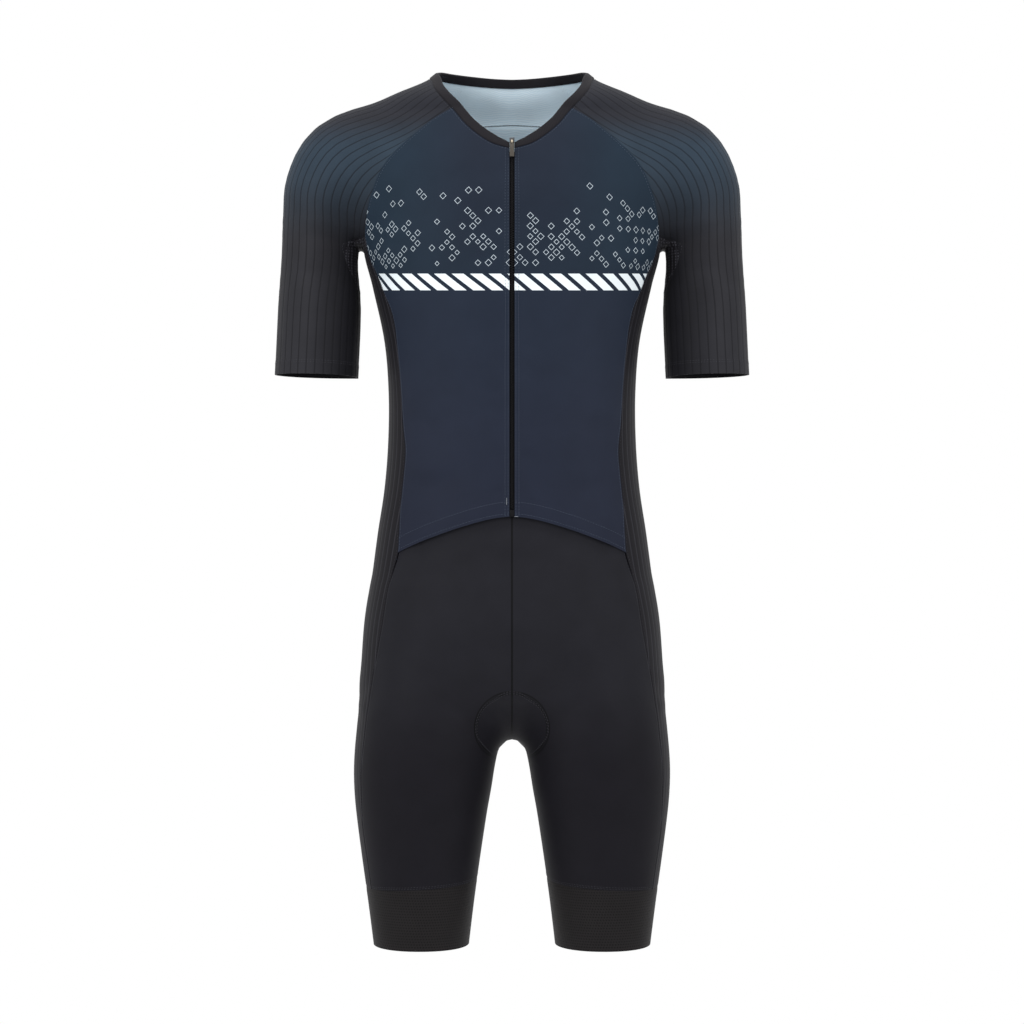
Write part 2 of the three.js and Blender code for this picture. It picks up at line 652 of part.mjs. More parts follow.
// Side panel: ribbed cloth from the gripper to the armpit, then over it on to the sleeve
function sideGrid() {
  const grid = SIDE_SEAM.map((row, r) => {
    const front = frontSeam[r];
    const back = backSeam[r];
    const middle = castFrom(vector(90, (front.y + back.y) / 2, row.z), vector(1, 0, 0));
    return rowThrough(front, middle, back, SIDE_COLUMNS);
  });
  const pitMiddle = castFrom(vector(120, 0, ARMPIT.middleZ), vector(1, 0, 0));
  grid.push(rowThrough(armpitFront, pitMiddle, armpitBack, SIDE_COLUMNS));
  const middles = [ceiling(0), ...GUSSET.map((row) => underarm(0, row.middleZ)), underarm(0, GUSSET_TIP.z)];
  middles.forEach((middle, i) => grid.push(rowThrough(gussetFront[i], middle, gussetBack[i], SIDE_COLUMNS)));
  return relax(grid, 4);
}

// Sleeve: a wrapped panel from the underarm seam round the arm, then up between the raglan seams
function sleeveGrid() {
  const fromTip = [...gussetFront].reverse();
  const fromTipBack = [...gussetBack].reverse();
  const cuffPoint = (z) => underarm(0, z);
  const starts = [...CUFF_UNDERARM_Z.map(cuffPoint), ...fromTip, armpitFront, ...raglanFront];
  const ends = [...CUFF_UNDERARM_Z.map(cuffPoint), ...fromTipBack, armpitBack, ...raglanBack];
  const rows = starts.map((start, r) => {
    const end = ends[r];
    const onNeckline = r === starts.length - 1;
    if (onNeckline) {
      const angles = Array.from({ length: SLEEVE_COLUMNS + 1 }, (unused, c) => c / SLEEVE_COLUMNS);
      return angles.map((t) => necklinePoint(mix(FRONT_CORNER_ANGLE, BACK_CORNER_ANGLE, t)));
    }
    const place = SLEEVE_ROWS[r];
    const lean = radians(place.lean);
    const along = vector(-Math.sin(lean), 0, Math.cos(lean));
    const outward = vector(Math.cos(lean), 0, Math.sin(lean));
    const axis = vector(place.axisX, 4, place.axisZ);
    const middle = place.topX
      ? castFrom(vector(place.topX, 6, 80), vector(0, 0, -1))
      : castFrom(vector(320, 2, place.outerZ), vector(-1, 0, 0));
    const locate = (p, sign) => {
      const d = p.clone().sub(axis);
      const angle = Math.atan2(d.y, d.dot(outward));
      const seamSide = sign < 0 ? -1 : 1;
      return { angle: angle * seamSide < 0 ? angle + seamSide * 2 * Math.PI : angle, height: d.dot(along) };
    };
    const a = locate(start, -1);
    const b = locate(end, 1);
    const m = { angle: 0, height: middle.clone().sub(axis).dot(along) };
    const closed = r < CUFF_UNDERARM_Z.length;
    if (closed) a.angle = -Math.PI;
    if (closed) b.angle = Math.PI;
    const heightAt = (angle) => {
      const wa = ((angle - m.angle) * (angle - b.angle)) / ((a.angle - m.angle) * (a.angle - b.angle));
      const wm = ((angle - a.angle) * (angle - b.angle)) / ((m.angle - a.angle) * (m.angle - b.angle));
      const wb = ((angle - a.angle) * (angle - m.angle)) / ((b.angle - a.angle) * (b.angle - m.angle));
      return wa * a.height + wm * m.height + wb * b.height;
    };
    const row = [start];
    for (let c = 1; c < SLEEVE_COLUMNS; c += 1) {
      const angle = mix(a.angle, b.angle, c / SLEEVE_COLUMNS);
      const origin = axis.clone().addScaledVector(along, heightAt(angle));
      const way = outward.clone().multiplyScalar(Math.cos(angle)).add(vector(0, Math.sin(angle), 0));
      row.push(castFrom(origin, way));
    }
    row.push(end);
    return row;
  });
  return relax(rows, 16);
}

// Shorts: one front and one back for each leg, joined at the middle and the inside leg
function legAxis(z) {
  const middle = tableAt(LEG, "z", "middle", Math.min(Math.max(z, LEG[LEG.length - 1].z), LEG[0].z));
  return { x: middle, y: 4 };
}

const crotchPoint = castFrom(vector(0, CROTCH.y, CROTCH.z), vector(0, 0, -1));
const inseamPoint = (z) => castFrom(vector(legAxis(z).x, CROTCH.y, z), vector(-1, 0, 0));
const middlePoint = (z, way) => castFrom(vector(0, CROTCH.y, z), vector(0, way, 0));

function shortsGrid(seam, centreHeights, way) {
  const inner = [...INSEAM_Z.map(inseamPoint), crotchPoint, ...centreHeights.map((z) => middlePoint(z, way))];
  const grid = inner.map((start, r) => {
    const end = seam[r];
    return rowAround(legAxis((start.z + end.z) / 2), start, end, PANEL_COLUMNS, 1, way > 0);
  });
  return relax(grid, 12);
}

// Leg gripper: a ring that starts on the bottom rows of the three panels above it
function gripperGrid(front, back, side) {
  const sideRow = side[0].filter((p, c) => c % GRIPPER_SIDE_STEP === 0);
  const ring = [...front[0].slice(0, -1), ...sideRow.slice(0, -1), ...[...back[0]].reverse().slice(0, -1)];
  return GRIPPER_ROWS.map((t) => ring.map((p) => {
    if (t === 0) return p;
    const z = mix(p.z, LEG_HEM_Z, t);
    const axis = legAxis(p.z);
    return castFrom(vector(axis.x, axis.y, z), vector(p.x - axis.x, p.y - axis.y, 0));
  })).reverse();
}

const fade = (value, width) => Math.min(value / width, 1);

// A rib on every other column, running out at the sewn edges
function ribs(rowCount, columnCount, strength) {
  return (r, c) => {
    if (c % 2 === 0) return 0;
    const acrossFade = fade(Math.min(c, columnCount - c), 2);
    const alongFade = fade(Math.min(r, rowCount - 1 - r), 1);
    return RIB_HEIGHT * acrossFade * alongFade * strength(r);
  };
}

// Collar binding: a folded band along the neckline, open at the zip
function bindingGrid(fronts, sleeve, yoke) {
  const lastRow = (grid) => grid[grid.length - 1];
  const overSleeve = lastRow(sleeve).filter((p, c) => c > 0 && c % BINDING.sleeveStep === 0);
  const toMiddleBack = [...lastRow(yoke)].reverse().slice(1, PANEL_COLUMNS + 1);
  const half = [...lastRow(fronts), ...overSleeve, ...toMiddleBack];
  const ring = [...half, ...mirrorRow(half.slice(0, -1)).reverse()];
  const columns = ring.map((low, i) => {
    if (i === 0 || i === ring.length - 1) {
      return [0, 0.5, 1].map((t) => zipEdge(low.x, low.z + t * BINDING.width));
    }
    const tangent = ring[i + 1].clone().sub(ring[i - 1]);
    const up = normalAt(low).cross(tangent);
    if (up.z < 0) up.negate();
    return walk(low, up.normalize(), BINDING.width, 2);
  });
  return [0, 1, 2].map((r) => columns.map((column) => column[r]));
}

// A strip beside the zip, from its own heights and distances
function stripGrid(near, far, top, bottom, rows) {
  return Array.from({ length: rows }, (unused, i) => {
    const z = mix(bottom, top, i / (rows - 1));
    return [zipEdge(near, z), zipEdge(far, z)];
  });
}

const behindFlap = (depth) => (p) => flapLift(p) - depth;

// Seat pad: one padded skin under the four shorts panels, on their own points
function padGeometry(shortsFront, shortsBack) {
  const points = [];
  const numbers = new Map();
  const numberOf = (p) => {
    const key = [p.x, p.y, p.z].map((value) => Math.round(value * 1000)).join();
    if (!numbers.has(key)) numbers.set(key, points.push(p) - 1);
    return numbers.get(key);
  };
  const skin = [];
  const patch = (grid, which, flip) => {
    for (const row of PAD_SPANS) {
      const r = row.span;
      for (let c = 0; c < row[which]; c += 1) {
        const corners = [grid[r][c], grid[r][c + 1], grid[r + 1][c + 1], grid[r + 1][c]].map(numberOf);
        const [a, b, d, e] = corners;
        skin.push(...[[a, b, d], [a, d, e]].map((face) => (flip ? [...face].reverse() : face)));
      }
    }
  };
  patch(shortsFront, "front", false);
  patch(mirrorGrid(shortsFront), "front", true);
  patch(shortsBack, "back", true);
  patch(mirrorGrid(shortsBack), "back", false);

  const open = new Map();
  for (const face of skin) {
    face.forEach((from, i) => {
      const to = face[(i + 1) % 3];
      if (!open.delete(`${to} ${from}`)) open.set(`${from} ${to}`, [from, to]);
    });
  }
  const onRim = new Set([...open.values()].flat());
  const nearRim = new Set(skin.filter((face) => face.some((i) => onRim.has(i))).flat());
  const depthAt = (i) => {
    if (onRim.has(i)) return PAD.edge;
    return nearRim.has(i) ? mix(PAD.edge, PAD.thickness, 0.7) : PAD.thickness;
  };
  const positions = [];
  for (const inner of [false, true]) {
    points.forEach((p, i) => {
      const depth = CLOTH + SEAM_GAP + (inner ? depthAt(i) : 0);
      positions.push(...p.clone().addScaledVector(normalAt(p), -depth).toArray());
    });
  }
  const count = points.length;
  const faces = [...skin, ...skin.map(([a, b, c]) => [a + count, c + count, b + count])];
  for (const [from, to] of open.values()) faces.push([to, from, from + count], [to, from + count, to + count]);
  return solidFrom(positions, faces);
}

// Joining plain solids
const wasm = await Module();
wasm.setup();

function toManifold(geometry) {
  const bare = geometry.clone();
  bare.deleteAttribute("normal");
  bare.deleteAttribute("uv");
  const merged = mergeVertices(bare, 1e-4);
  const mesh = new wasm.Mesh({
    numProp: 3,
    vertProperties: new Float32Array(merged.attributes.position.array),
    triVerts: new Uint32Array(merged.index.array),
  });
  return new wasm.Manifold(mesh);
}

function joined(geometries) {
  const whole = geometries.map(toManifold).reduce((sum, next) => sum.add(next));
  const { vertProperties, triVerts } = whole.getMesh();
  const geometry = new THREE.BufferGeometry();
  geometry.setAttribute("position", new THREE.Float32BufferAttribute(vertProperties, 3));
  geometry.setIndex(Array.from(triVerts));
  geometry.computeVertexNormals();
  return geometry;
}

// Zip slider and pull tab, in a frame on the cloth: -Y is out of the cloth and +Z is up along it
function boxAt(width, depth, height, x, y, z) {
  return new THREE.BoxGeometry(width, depth, height).translate(x, y, z);
}

function sliderGeometry(eyeOut) {
  const frontFace = SLIDER.front + SLIDER.plate;
  const frontPlate = boxAt(SLIDER.width, SLIDER.plate, SLIDER.height, 0, -(SLIDER.front + SLIDER.plate / 2), 0);
  const backPlate = boxAt(SLIDER.width, SLIDER.plate, SLIDER.height, 0, SLIDER.back + SLIDER.plate / 2, 0);
  const span = SLIDER.front + SLIDER.back + SLIDER.plate;
  const wedgeY = (SLIDER.back - SLIDER.front) / 2;
  const wedge = boxAt(SLIDER.wedge, span, SLIDER.height / 2, 0, wedgeY, SLIDER.height / 4);
  const profile = new THREE.Shape();
  const sunk = eyeOut - frontFace + SLIDER.plate / 2;
  profile.moveTo(-EYE.outer, -sunk);
  profile.lineTo(EYE.outer, -sunk);
  profile.lineTo(EYE.outer, 0);
  profile.absarc(0, 0, EYE.outer, 0, Math.PI, false);
  profile.lineTo(-EYE.outer, -sunk);
  profile.holes.push(new THREE.Path().absarc(0, 0, EYE.inner, 0, 2 * Math.PI, true));
  const lug = new THREE.ExtrudeGeometry(profile, { depth: EYE.width, bevelEnabled: false, curveSegments: 8 });
  lug.translate(0, 0, -EYE.width / 2);
  lug.applyMatrix4(new THREE.Matrix4().makeBasis(vector(0, 0, 1), vector(0, -1, 0), vector(1, 0, 0)));
  lug.translate(0, -eyeOut, 0);
  return joined([frontPlate, backPlate, wedge, lug]);
}

function pullGeometry() {
  const half = PULL.width / 2;
  const bar = PULL.thickness / 2;
  const round = PULL.round;
  const outline = new THREE.Shape();
  outline.moveTo(-half, bar);
  outline.lineTo(-half, -PULL.length + round);
  outline.absarc(-half + round, -PULL.length + round, round, Math.PI, 1.5 * Math.PI, false);
  outline.absarc(half - round, -PULL.length + round, round, 1.5 * Math.PI, 2 * Math.PI, false);
  outline.lineTo(half, bar);
  outline.closePath();
  const gap = new THREE.Path();
  gap.moveTo(-PULL.windowHalf, -bar);
  gap.lineTo(PULL.windowHalf, -bar);
  gap.lineTo(PULL.windowHalf, -PULL.windowEnd);
  gap.lineTo(-PULL.windowHalf, -PULL.windowEnd);
  gap.closePath();
  outline.holes.push(gap);
  const sweep = { depth: PULL.thickness, bevelEnabled: false, curveSegments: 4 };
  const plate = new THREE.ExtrudeGeometry(outline, sweep);
  plate.translate(0, 0, -bar);
  return plate.rotateX(Math.PI / 2);
}

function addZipHead() {
  const seat = zipEdge(0, SLIDER.z);
  const out = normalAt(seat);
  const head = new THREE.Group();
  head.position.copy(seat);
  head.rotation.x = Math.atan2(-out.z, -out.y);
  const eyeOut = SLIDER.front + SLIDER.plate + SLIDER.clearance + PULL.thickness / 2;
  addMesh("zip_slider", sliderGeometry(eyeOut), material(COLOURS.metal, 0.4, 0.8), head);
  const pull = new THREE.Group();
  pull.position.set(0, -eyeOut, 0);
  addMesh("zip_pull", pullGeometry(), material(COLOURS.metal, 0.4, 0.8), pull);
  head.add(pull);
  suit.add(head);
}

// Putting the suit together
const fronts = frontGrid();
const back = backGrid();
const yoke = yokeGrid();
const side = sideGrid();
const sleeve = sleeveGrid();
const shortsFront = shortsGrid(frontSeam, SHORTS_FRONT_CENTRE_Z, -1);
const shortsBack = shortsGrid(backSeam, SHORTS_BACK_CENTRE_Z, 1);
const gripper = gripperGrid(shortsFront, shortsBack, side);
const allSewn = { start: 1, end: 1, bottom: 1, top: 1 };

addPair("front", fronts, { base: flapLift, edges: { end: 1, top: 1 } }, COLOURS.front);
addMesh("back_panel", wallGeometry(back, { symmetric: true, edges: allSewn }), material(COLOURS.front));
addMesh("back_yoke", wallGeometry(yoke, { symmetric: true, edges: allSewn }), material(COLOURS.front));

const sideRibs = ribs(side.length, SIDE_COLUMNS, (r) => (r < SIDE_SEAM.length ? 1 : 0));
addPair("side", side, { rib: sideRibs, innerColumns: SIDE_INNER, edges: allSewn }, COLOURS.side);

const armRows = sleeve.length - raglanFront.length;
const sleeveStrength = (r) => 1 - fade(Math.max(r - armRows + 1, 0), raglanFront.length) * 0.7;
const sleeveRibs = ribs(sleeve.length, SLEEVE_COLUMNS, sleeveStrength);
const sleeveEdges = { start: 1, end: 1, top: 1 };
addPair("sleeve", sleeve, { rib: sleeveRibs, innerColumns: SLEEVE_INNER, edges: sleeveEdges }, COLOURS.sleeve);

const shortsFrontOptions = { base: shortsRecess, edges: { start: 1, end: 1, bottom: 1 } };
addPair("shorts_front", shortsFront, shortsFrontOptions, COLOURS.shorts);
addPair("shorts_back", shortsBack, { edges: allSewn }, COLOURS.shorts);
addPair("gripper", gripper, { closed: true, edges: { top: 1 } }, COLOURS.gripper);

const bindingOptions = { base: () => BINDING.proud, thickness: () => BINDING.thickness, edges: { bottom: 2 } };
const bindingRing = bindingGrid(fronts, sleeve, yoke);
addMesh("neck_binding", wallGeometry(bindingRing, bindingOptions), material(COLOURS.binding));

const tape = stripGrid(ZIP_TAPE.near, ZIP_TAPE.far, ZIP_TAPE.top, ZIP_TAPE.bottom, 20);
const tapeOptions = { base: behindFlap(ZIP_TAPE.depth), thickness: () => ZIP_TAPE.thickness };
addPair("zip_tape", tape, tapeOptions, COLOURS.tape);
const chain = stripGrid(-ZIP_CHAIN.half, ZIP_CHAIN.half, ZIP_CHAIN.top, ZIP_CHAIN.bottom, 24);
const chainOptions = { base: behindFlap(ZIP_CHAIN.depth), thickness: () => ZIP_CHAIN.thickness };
addMesh("zip_chain", wallGeometry(chain, chainOptions), material(COLOURS.teeth));
const zipBox = stripGrid(-ZIP_BOX.half, ZIP_BOX.half, ZIP_BOX.top, ZIP_BOX.bottom, 2);
const boxOptions = { base: behindFlap(ZIP_BOX.depth), thickness: () => ZIP_BOX.thickness };
addMesh("zip_box", wallGeometry(zipBox, boxOptions), material(COLOURS.teeth, 0.5));
addZipHead();

addMesh("seat_pad", padGeometry(shortsFront, shortsBack), material(COLOURS.pad));

export default suit;
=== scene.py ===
# %% [markdown]
# # A triathlon suit in stretch knit
# The real suit is one garment, sewn from thin stretch cloths. Smooth printed fronts and back,
# ribbed sleeves and sides, dense shorts, and elastic mesh at the legs. It is photographed
# filled out, with no wearer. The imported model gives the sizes, the seams and the moving zip
# pull. Here each of its cloth solids is replaced by a thin, smooth shell on the same form.

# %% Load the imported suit
import json
import math
from contextlib import contextmanager

import bpy
import numpy as np
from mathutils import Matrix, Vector

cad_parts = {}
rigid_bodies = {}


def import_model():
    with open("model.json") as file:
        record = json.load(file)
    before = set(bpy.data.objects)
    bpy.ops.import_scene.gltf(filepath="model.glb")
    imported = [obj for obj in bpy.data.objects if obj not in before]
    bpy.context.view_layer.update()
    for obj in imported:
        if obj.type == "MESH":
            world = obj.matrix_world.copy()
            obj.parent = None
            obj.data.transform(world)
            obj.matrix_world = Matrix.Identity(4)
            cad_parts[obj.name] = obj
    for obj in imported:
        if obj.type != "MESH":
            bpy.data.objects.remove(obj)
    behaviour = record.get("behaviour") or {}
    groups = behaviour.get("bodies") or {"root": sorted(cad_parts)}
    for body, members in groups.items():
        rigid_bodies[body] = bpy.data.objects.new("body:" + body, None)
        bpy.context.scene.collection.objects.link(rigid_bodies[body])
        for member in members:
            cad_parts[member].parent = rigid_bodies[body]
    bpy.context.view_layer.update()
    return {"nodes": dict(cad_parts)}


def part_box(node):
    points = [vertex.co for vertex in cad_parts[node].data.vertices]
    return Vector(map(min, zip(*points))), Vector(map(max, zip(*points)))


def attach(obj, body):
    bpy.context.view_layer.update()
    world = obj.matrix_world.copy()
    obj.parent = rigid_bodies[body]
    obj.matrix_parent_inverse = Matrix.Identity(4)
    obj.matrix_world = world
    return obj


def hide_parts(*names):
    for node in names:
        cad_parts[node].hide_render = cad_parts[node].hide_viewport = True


for spare in list(bpy.data.objects):
    bpy.data.objects.remove(spare)
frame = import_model()
MM = 0.001

# %% [markdown]
# ## The form under the cloth
# A stretch garment follows one smooth body form. A maker would pull the cloth over a
# mannequin. Here the form is a distance function: trunk sections, a pelvis, two legs, a neck
# and two arms, each negative inside, melted together by a soft minimum. It could be sculpted
# by hand, but then neighbouring panels would not meet. On a shared function, every panel's
# edge lies on the same surface, and the surface is smooth however closely it is sampled.

# %% Tables of the form, in millimetres
def table(names, rows):
    """Named columns from rows of numbers."""
    columns = np.array(rows, float).T
    return dict(zip(names.split(), columns))


def read(data, key, column, value):
    """A smooth curve through one column of a table, read against another column."""
    x = data[key]
    y = data[column]
    last = len(x) - 1
    way = 1 if x[1] > x[0] else -1
    before = np.maximum(np.arange(last + 1) - 1, 0)
    after = np.minimum(np.arange(last + 1) + 1, last)
    slope = (y[after] - y[before]) / (x[after] - x[before])
    i = np.clip(np.searchsorted(way * x, way * np.asarray(value), side="right") - 1, 0, last - 1)
    step = x[i + 1] - x[i]
    t = np.clip((value - x[i]) / step, 0, 1)
    cubic = t * t * (3 - 2 * t)
    bow = step * t * (1 - t) * ((1 - t) * slope[i] - t * slope[i + 1])
    return y[i] * (1 - cubic) + y[i + 1] * cubic + bow


TORSO = table("z half front back", [
    (-45, 95, 62, 78), (-75, 125, 78, 96), (-110, 148, 94, 108), (-150, 158, 105, 113),
    (-190, 161, 110, 112), (-230, 151.5, 109, 107), (-290, 138.5, 103, 96), (-345, 134, 97, 87),
    (-400, 134.5, 93, 84), (-450, 138.5, 93, 92), (-500, 146, 96, 105), (-560, 153.5, 99, 117),
    (-620, 159, 96, 120), (-665, 160, 78, 100),
])
LEG = table("z middle half front back", [
    (-560, 70, 66, 78, 90), (-620, 76, 74, 86, 103), (-680, 85.5, 79, 92, 107), (-720, 91, 78.5, 91, 100),
    (-750, 95, 76.5, 88, 93), (-775, 96.8, 74.3, 84, 88), (-800, 98, 71, 80, 82), (-850, 98.6, 64, 72, 72),
    (-900, 98.6, 57, 65, 62), (-990, 98.2, 46, 54, 50),
])
ARM = table("x y z radius", [
    (70, 14, -58, 50), (130, 10, -76, 50), (180, 6, -97, 51.5), (197, 4, -124, 49.5),
    (204, 3, -150, 44.8), (209, 2, -200, 41.5), (209.3, 2, -255, 45), (214, 0, -360, 45),
])
PELVIS = {"y": 8, "z": -600, "radius": np.array([150, 108, 115])}
NECK = {"y": 12, "radius_x": 72, "radius_y": 62, "top": 60, "bottom": -80}
ARM_DEPTH = 1.12
SECTION_POWER = {"torso": 2.3, "leg": 2.15, "neck": 2}
BLEND = {"neck_arm": 40, "legs": 34, "trunk": 24}
ARM_BLEND = {"pit": 5, "fold": 40, "fold_y": 50, "shoulder": 65, "pit_z": -195, "shoulder_z": -110}
print("trunk sections:", len(TORSO["z"]), "leg sections:", len(LEG["z"]), "arm points:", len(ARM["x"]))


# %% The distance to the form
def smoothstep(low, high, value):
    t = np.clip((value - low) / (high - low), 0, 1)
    return t * t * (3 - 2 * t)


def blend_min(a, b, width):
    h = np.maximum(width - np.abs(a - b), 0) / width
    return np.minimum(a, b) - h * h * width / 4


def section_distance(x, y, half, front, back, power):
    depth = np.where(y < 0, front, back)
    radius = np.maximum(np.hypot(x, y), 1e-6)
    ratio = ((np.abs(x) / half) ** power + (np.abs(y) / depth) ** power) ** (1 / power)
    return radius * (1 - 1 / np.maximum(ratio, 1e-9))


def capped(side, end):
    return np.minimum(np.maximum(side, end), 0) + np.hypot(np.maximum(side, 0), np.maximum(end, 0))


def tube_distance(data, x, y, z, power):
    half, front, back = (read(data, "z", name, z) for name in ("half", "front", "back"))
    middle = read(data, "z", "middle", z) if "middle" in data else 0
    wall = section_distance(x - middle, y, half, front, back, power)
    return capped(wall, np.maximum(z - data["z"][0], data["z"][-1] - z))


def arm_rods(steps=4):
    """The arm line as a centripetal curve through its table, cut into short tapered rods."""
    line = np.stack([ARM["x"], ARM["y"], ARM["z"]], axis=1)
    ends = [2 * line[0] - line[1], *line, 2 * line[-1] - line[-2]]
    points = []
    for k in range(len(line) - 1):
        a, b, c, d = ends[k:k + 4]
        before, here, after = (np.linalg.norm(q - p) ** 0.5 for p, q in ((a, b), (b, c), (c, d)))
        leave = ((b - a) / before - (c - a) / (before + here) + (c - b) / here) * here
        arrive = ((c - b) / here - (d - b) / (here + after) + (d - c) / after) * here
        for i in range(steps):
            t = i / steps
            bend = (2 * b - 2 * c + leave + arrive) * t ** 3
            points.append(b + leave * t + (3 * c - 3 * b - 2 * leave - arrive) * t * t + bend)
    points.append(line[-1])
    number = {"k": np.arange(len(line), dtype=float), "radius": ARM["radius"]}
    radii = read(number, "k", "radius", np.arange(len(points)) / steps)
    return np.array(points), radii


ROD_POINTS, ROD_RADII = arm_rods()


def arm_distance(x, y, z):
    nearest = np.full(len(x), np.inf)
    for i in range(len(ROD_POINTS) - 1):
        px, py, pz = np.abs(x) - ROD_POINTS[i, 0], (y - ROD_POINTS[i, 1]) / ARM_DEPTH, z - ROD_POINTS[i, 2]
        ax, ay, az = (ROD_POINTS[i + 1] - ROD_POINTS[i]) / (1, ARM_DEPTH, 1)
        t = np.clip((px * ax + py * ay + pz * az) / (ax * ax + ay * ay + az * az), 0, 1)
        away = np.sqrt((px - ax * t) ** 2 + (py - ay * t) ** 2 + (pz - az * t) ** 2)
        nearest = np.minimum(nearest, away - ROD_RADII[i] - (ROD_RADII[i + 1] - ROD_RADII[i]) * t)
    return nearest


def where_near(near, distance, x, y, z, far=300.0):
    """A distance that is worked out only for the points that a limb can reach."""
    out = np.full(len(x), far)
    if near.any():
        out[near] = distance(x[near], y[near], z[near])
    return out


def legs_distance(x, y, z):
    left, right = (tube_distance(LEG, side * x, y, z, SECTION_POWER["leg"]) for side in (1, -1))
    return blend_min(left, right, BLEND["legs"])


def body_distance(p):
    """Millimetres from the outer face of the cloth, negative inside, for points as rows."""
    x, y, z = p[:, 0], p[:, 1], p[:, 2]
    legs = where_near(z < -470, legs_distance, x, y, z)
    out = np.stack([x, y - PELVIS["y"], z - PELVIS["z"]], axis=-1)
    ratio = np.maximum(np.linalg.norm(out / PELVIS["radius"], axis=1), 1e-9)
    pelvis = np.linalg.norm(out, axis=1) * (1 - 1 / ratio)
    torso = blend_min(tube_distance(TORSO, x, y, z, SECTION_POWER["torso"]), pelvis, BLEND["trunk"])
    trunk = blend_min(torso, legs, BLEND["trunk"])
    radii = NECK["radius_x"], NECK["radius_y"], NECK["radius_y"]
    column = section_distance(x, y - NECK["y"], *radii, SECTION_POWER["neck"])
    neck = capped(column, np.maximum(z - NECK["top"], NECK["bottom"] - z))
    shoulders = blend_min(neck, where_near(z > -400, arm_distance, x, y, z), BLEND["neck_arm"])
    fold = smoothstep(0, ARM_BLEND["fold_y"], np.abs(y))
    low = ARM_BLEND["pit"] + (ARM_BLEND["fold"] - ARM_BLEND["pit"]) * fold
    rise = smoothstep(ARM_BLEND["pit_z"], ARM_BLEND["shoulder_z"], z)
    return blend_min(trunk, shoulders, low + (ARM_BLEND["shoulder"] - low) * rise)


chest_middle = np.array([[0.0, 0, -230]])
print("from the middle of the chest to the cloth, mm:", body_distance(chest_middle).round(1))

# %% [markdown]
# Three moves find points on the form: a gradient gives the way out of the cloth, settling
# slides a nearby point on to the surface, and casting follows a ray until it meets it.

# %% Find points on the form
def slope_at(p, h=0.02):
    """The distance at each point, and how it grows along x, y and z."""
    value = body_distance(p)
    return value, np.stack([body_distance(p + s) - value for s in np.eye(3) * h], axis=1) / h


def settle(points, rounds=2):
    """Points moved on to the form."""
    p = points.reshape(-1, 3).copy()
    for _ in range(rounds):
        value, slope = slope_at(p)
        move = value / np.maximum((slope * slope).sum(1), 0.2)
        p -= slope * np.clip(move, -8, 8)[:, None]
    return p.reshape(points.shape)


def normals_at(points):
    slope = slope_at(points.reshape(-1, 3))[1]
    return (slope / np.linalg.norm(slope, axis=1)[:, None]).reshape(points.shape)


def cast(origins, ways):
    """Where rays first cross the form, from inside or outside."""
    shape = np.broadcast(origins, ways).shape
    start = np.broadcast_to(origins, shape).reshape(-1, 3)
    way = np.broadcast_to(ways, shape).reshape(-1, 3)
    way = way / np.linalg.norm(way, axis=1)[:, None]
    low = np.zeros(len(start))
    high = np.zeros(len(start))
    value = body_distance(start)
    inside = value < 0
    for _ in range(600):
        going = np.flatnonzero((value < 0) == inside)
        if not len(going):
            break
        low[going] = high[going]
        high[going] += np.maximum(0.6 * np.abs(value[going]), 0.8)
        value[going] = body_distance(start[going] + way[going] * high[going, None])
    for _ in range(20):
        middle = (low + high) / 2
        same = (body_distance(start + way * middle[:, None]) < 0) == inside
        low = np.where(same, middle, low)
        high = np.where(same, high, middle)
    return (start + way * ((low + high) / 2)[:, None]).reshape(shape)


X_WAY, Y_WAY, Z_WAY = np.eye(3)
FAR = {"front": -260, "back": 260, "top": 80, "arm": 320, "underarm": 209}


def spots(x, y, z):
    """Points as rows, from numbers or lists of one length."""
    return np.stack(np.broadcast_arrays(*(np.asarray(v, float) for v in (x, y, z))), axis=-1)


def front_points(x, z):
    return cast(spots(x, FAR["front"], z), Y_WAY)


def back_points(x, z):
    return cast(spots(x, FAR["back"], z), -Y_WAY)


waist = front_points([0.0], [-400.0])[0]
print("cloth at the middle of the waist, mm:", waist.round(1))

# %% [markdown]
# ## Seams
# Panels meet at seams, so the seams come first: side seams, raglan seams from the armpit to
# the neck, and the lens under the arm. Each is a short table of places on the real garment,
# dropped on to the form.

# %% Seam tables, in millimetres
NECK_AXIS_Y = 8
NECKLINE_FRONT_Z = -92
FRONT_CORNER_ANGLE = 41
BACK_CORNER_ANGLE = 138
ARMPIT = {"x": 158, "z": -180, "middle_z": -192}
FRONT_HEM = {"centre": -480, "side": -518, "half": 120, "bend": 1.6, "lift": 1.5, "fade": 45,
             "ease": 25, "sewn": 2}
SHORTS_RECESS = {"depth": 3.7, "start": 4, "length": 26, "less": 0.6, "ease": 22, "sewn": 4}
ZIP_OPENING_HALF = 2.7
YOKE_SEAM_CENTRE_Z = -42
WAIST_SEAM_CENTRE_Z = -450
CROTCH = {"y": 8, "z": -640}
LEG_HEM_Z = -943
NECKLINE = table("angle z", [
    (0, -92), (13, -85.5), (28, -67.5), (38, -50.5), (45, -39), (52, -29), (60, -20), (70, -11), (80, -5.5),
    (90, -3), (105, 0), (120, 0), (140, -1), (160, -2), (180, -2.5),
])
RAGLAN = table("front_x front_z back_x back_z", [
    (156, -160, 155, -148), (149, -133, 147, -115), (135.5, -105, 135, -90), (116.5, -84.5, 122, -70),
    (100, -70, 105, -50), (84, -57, 82, -25),
])
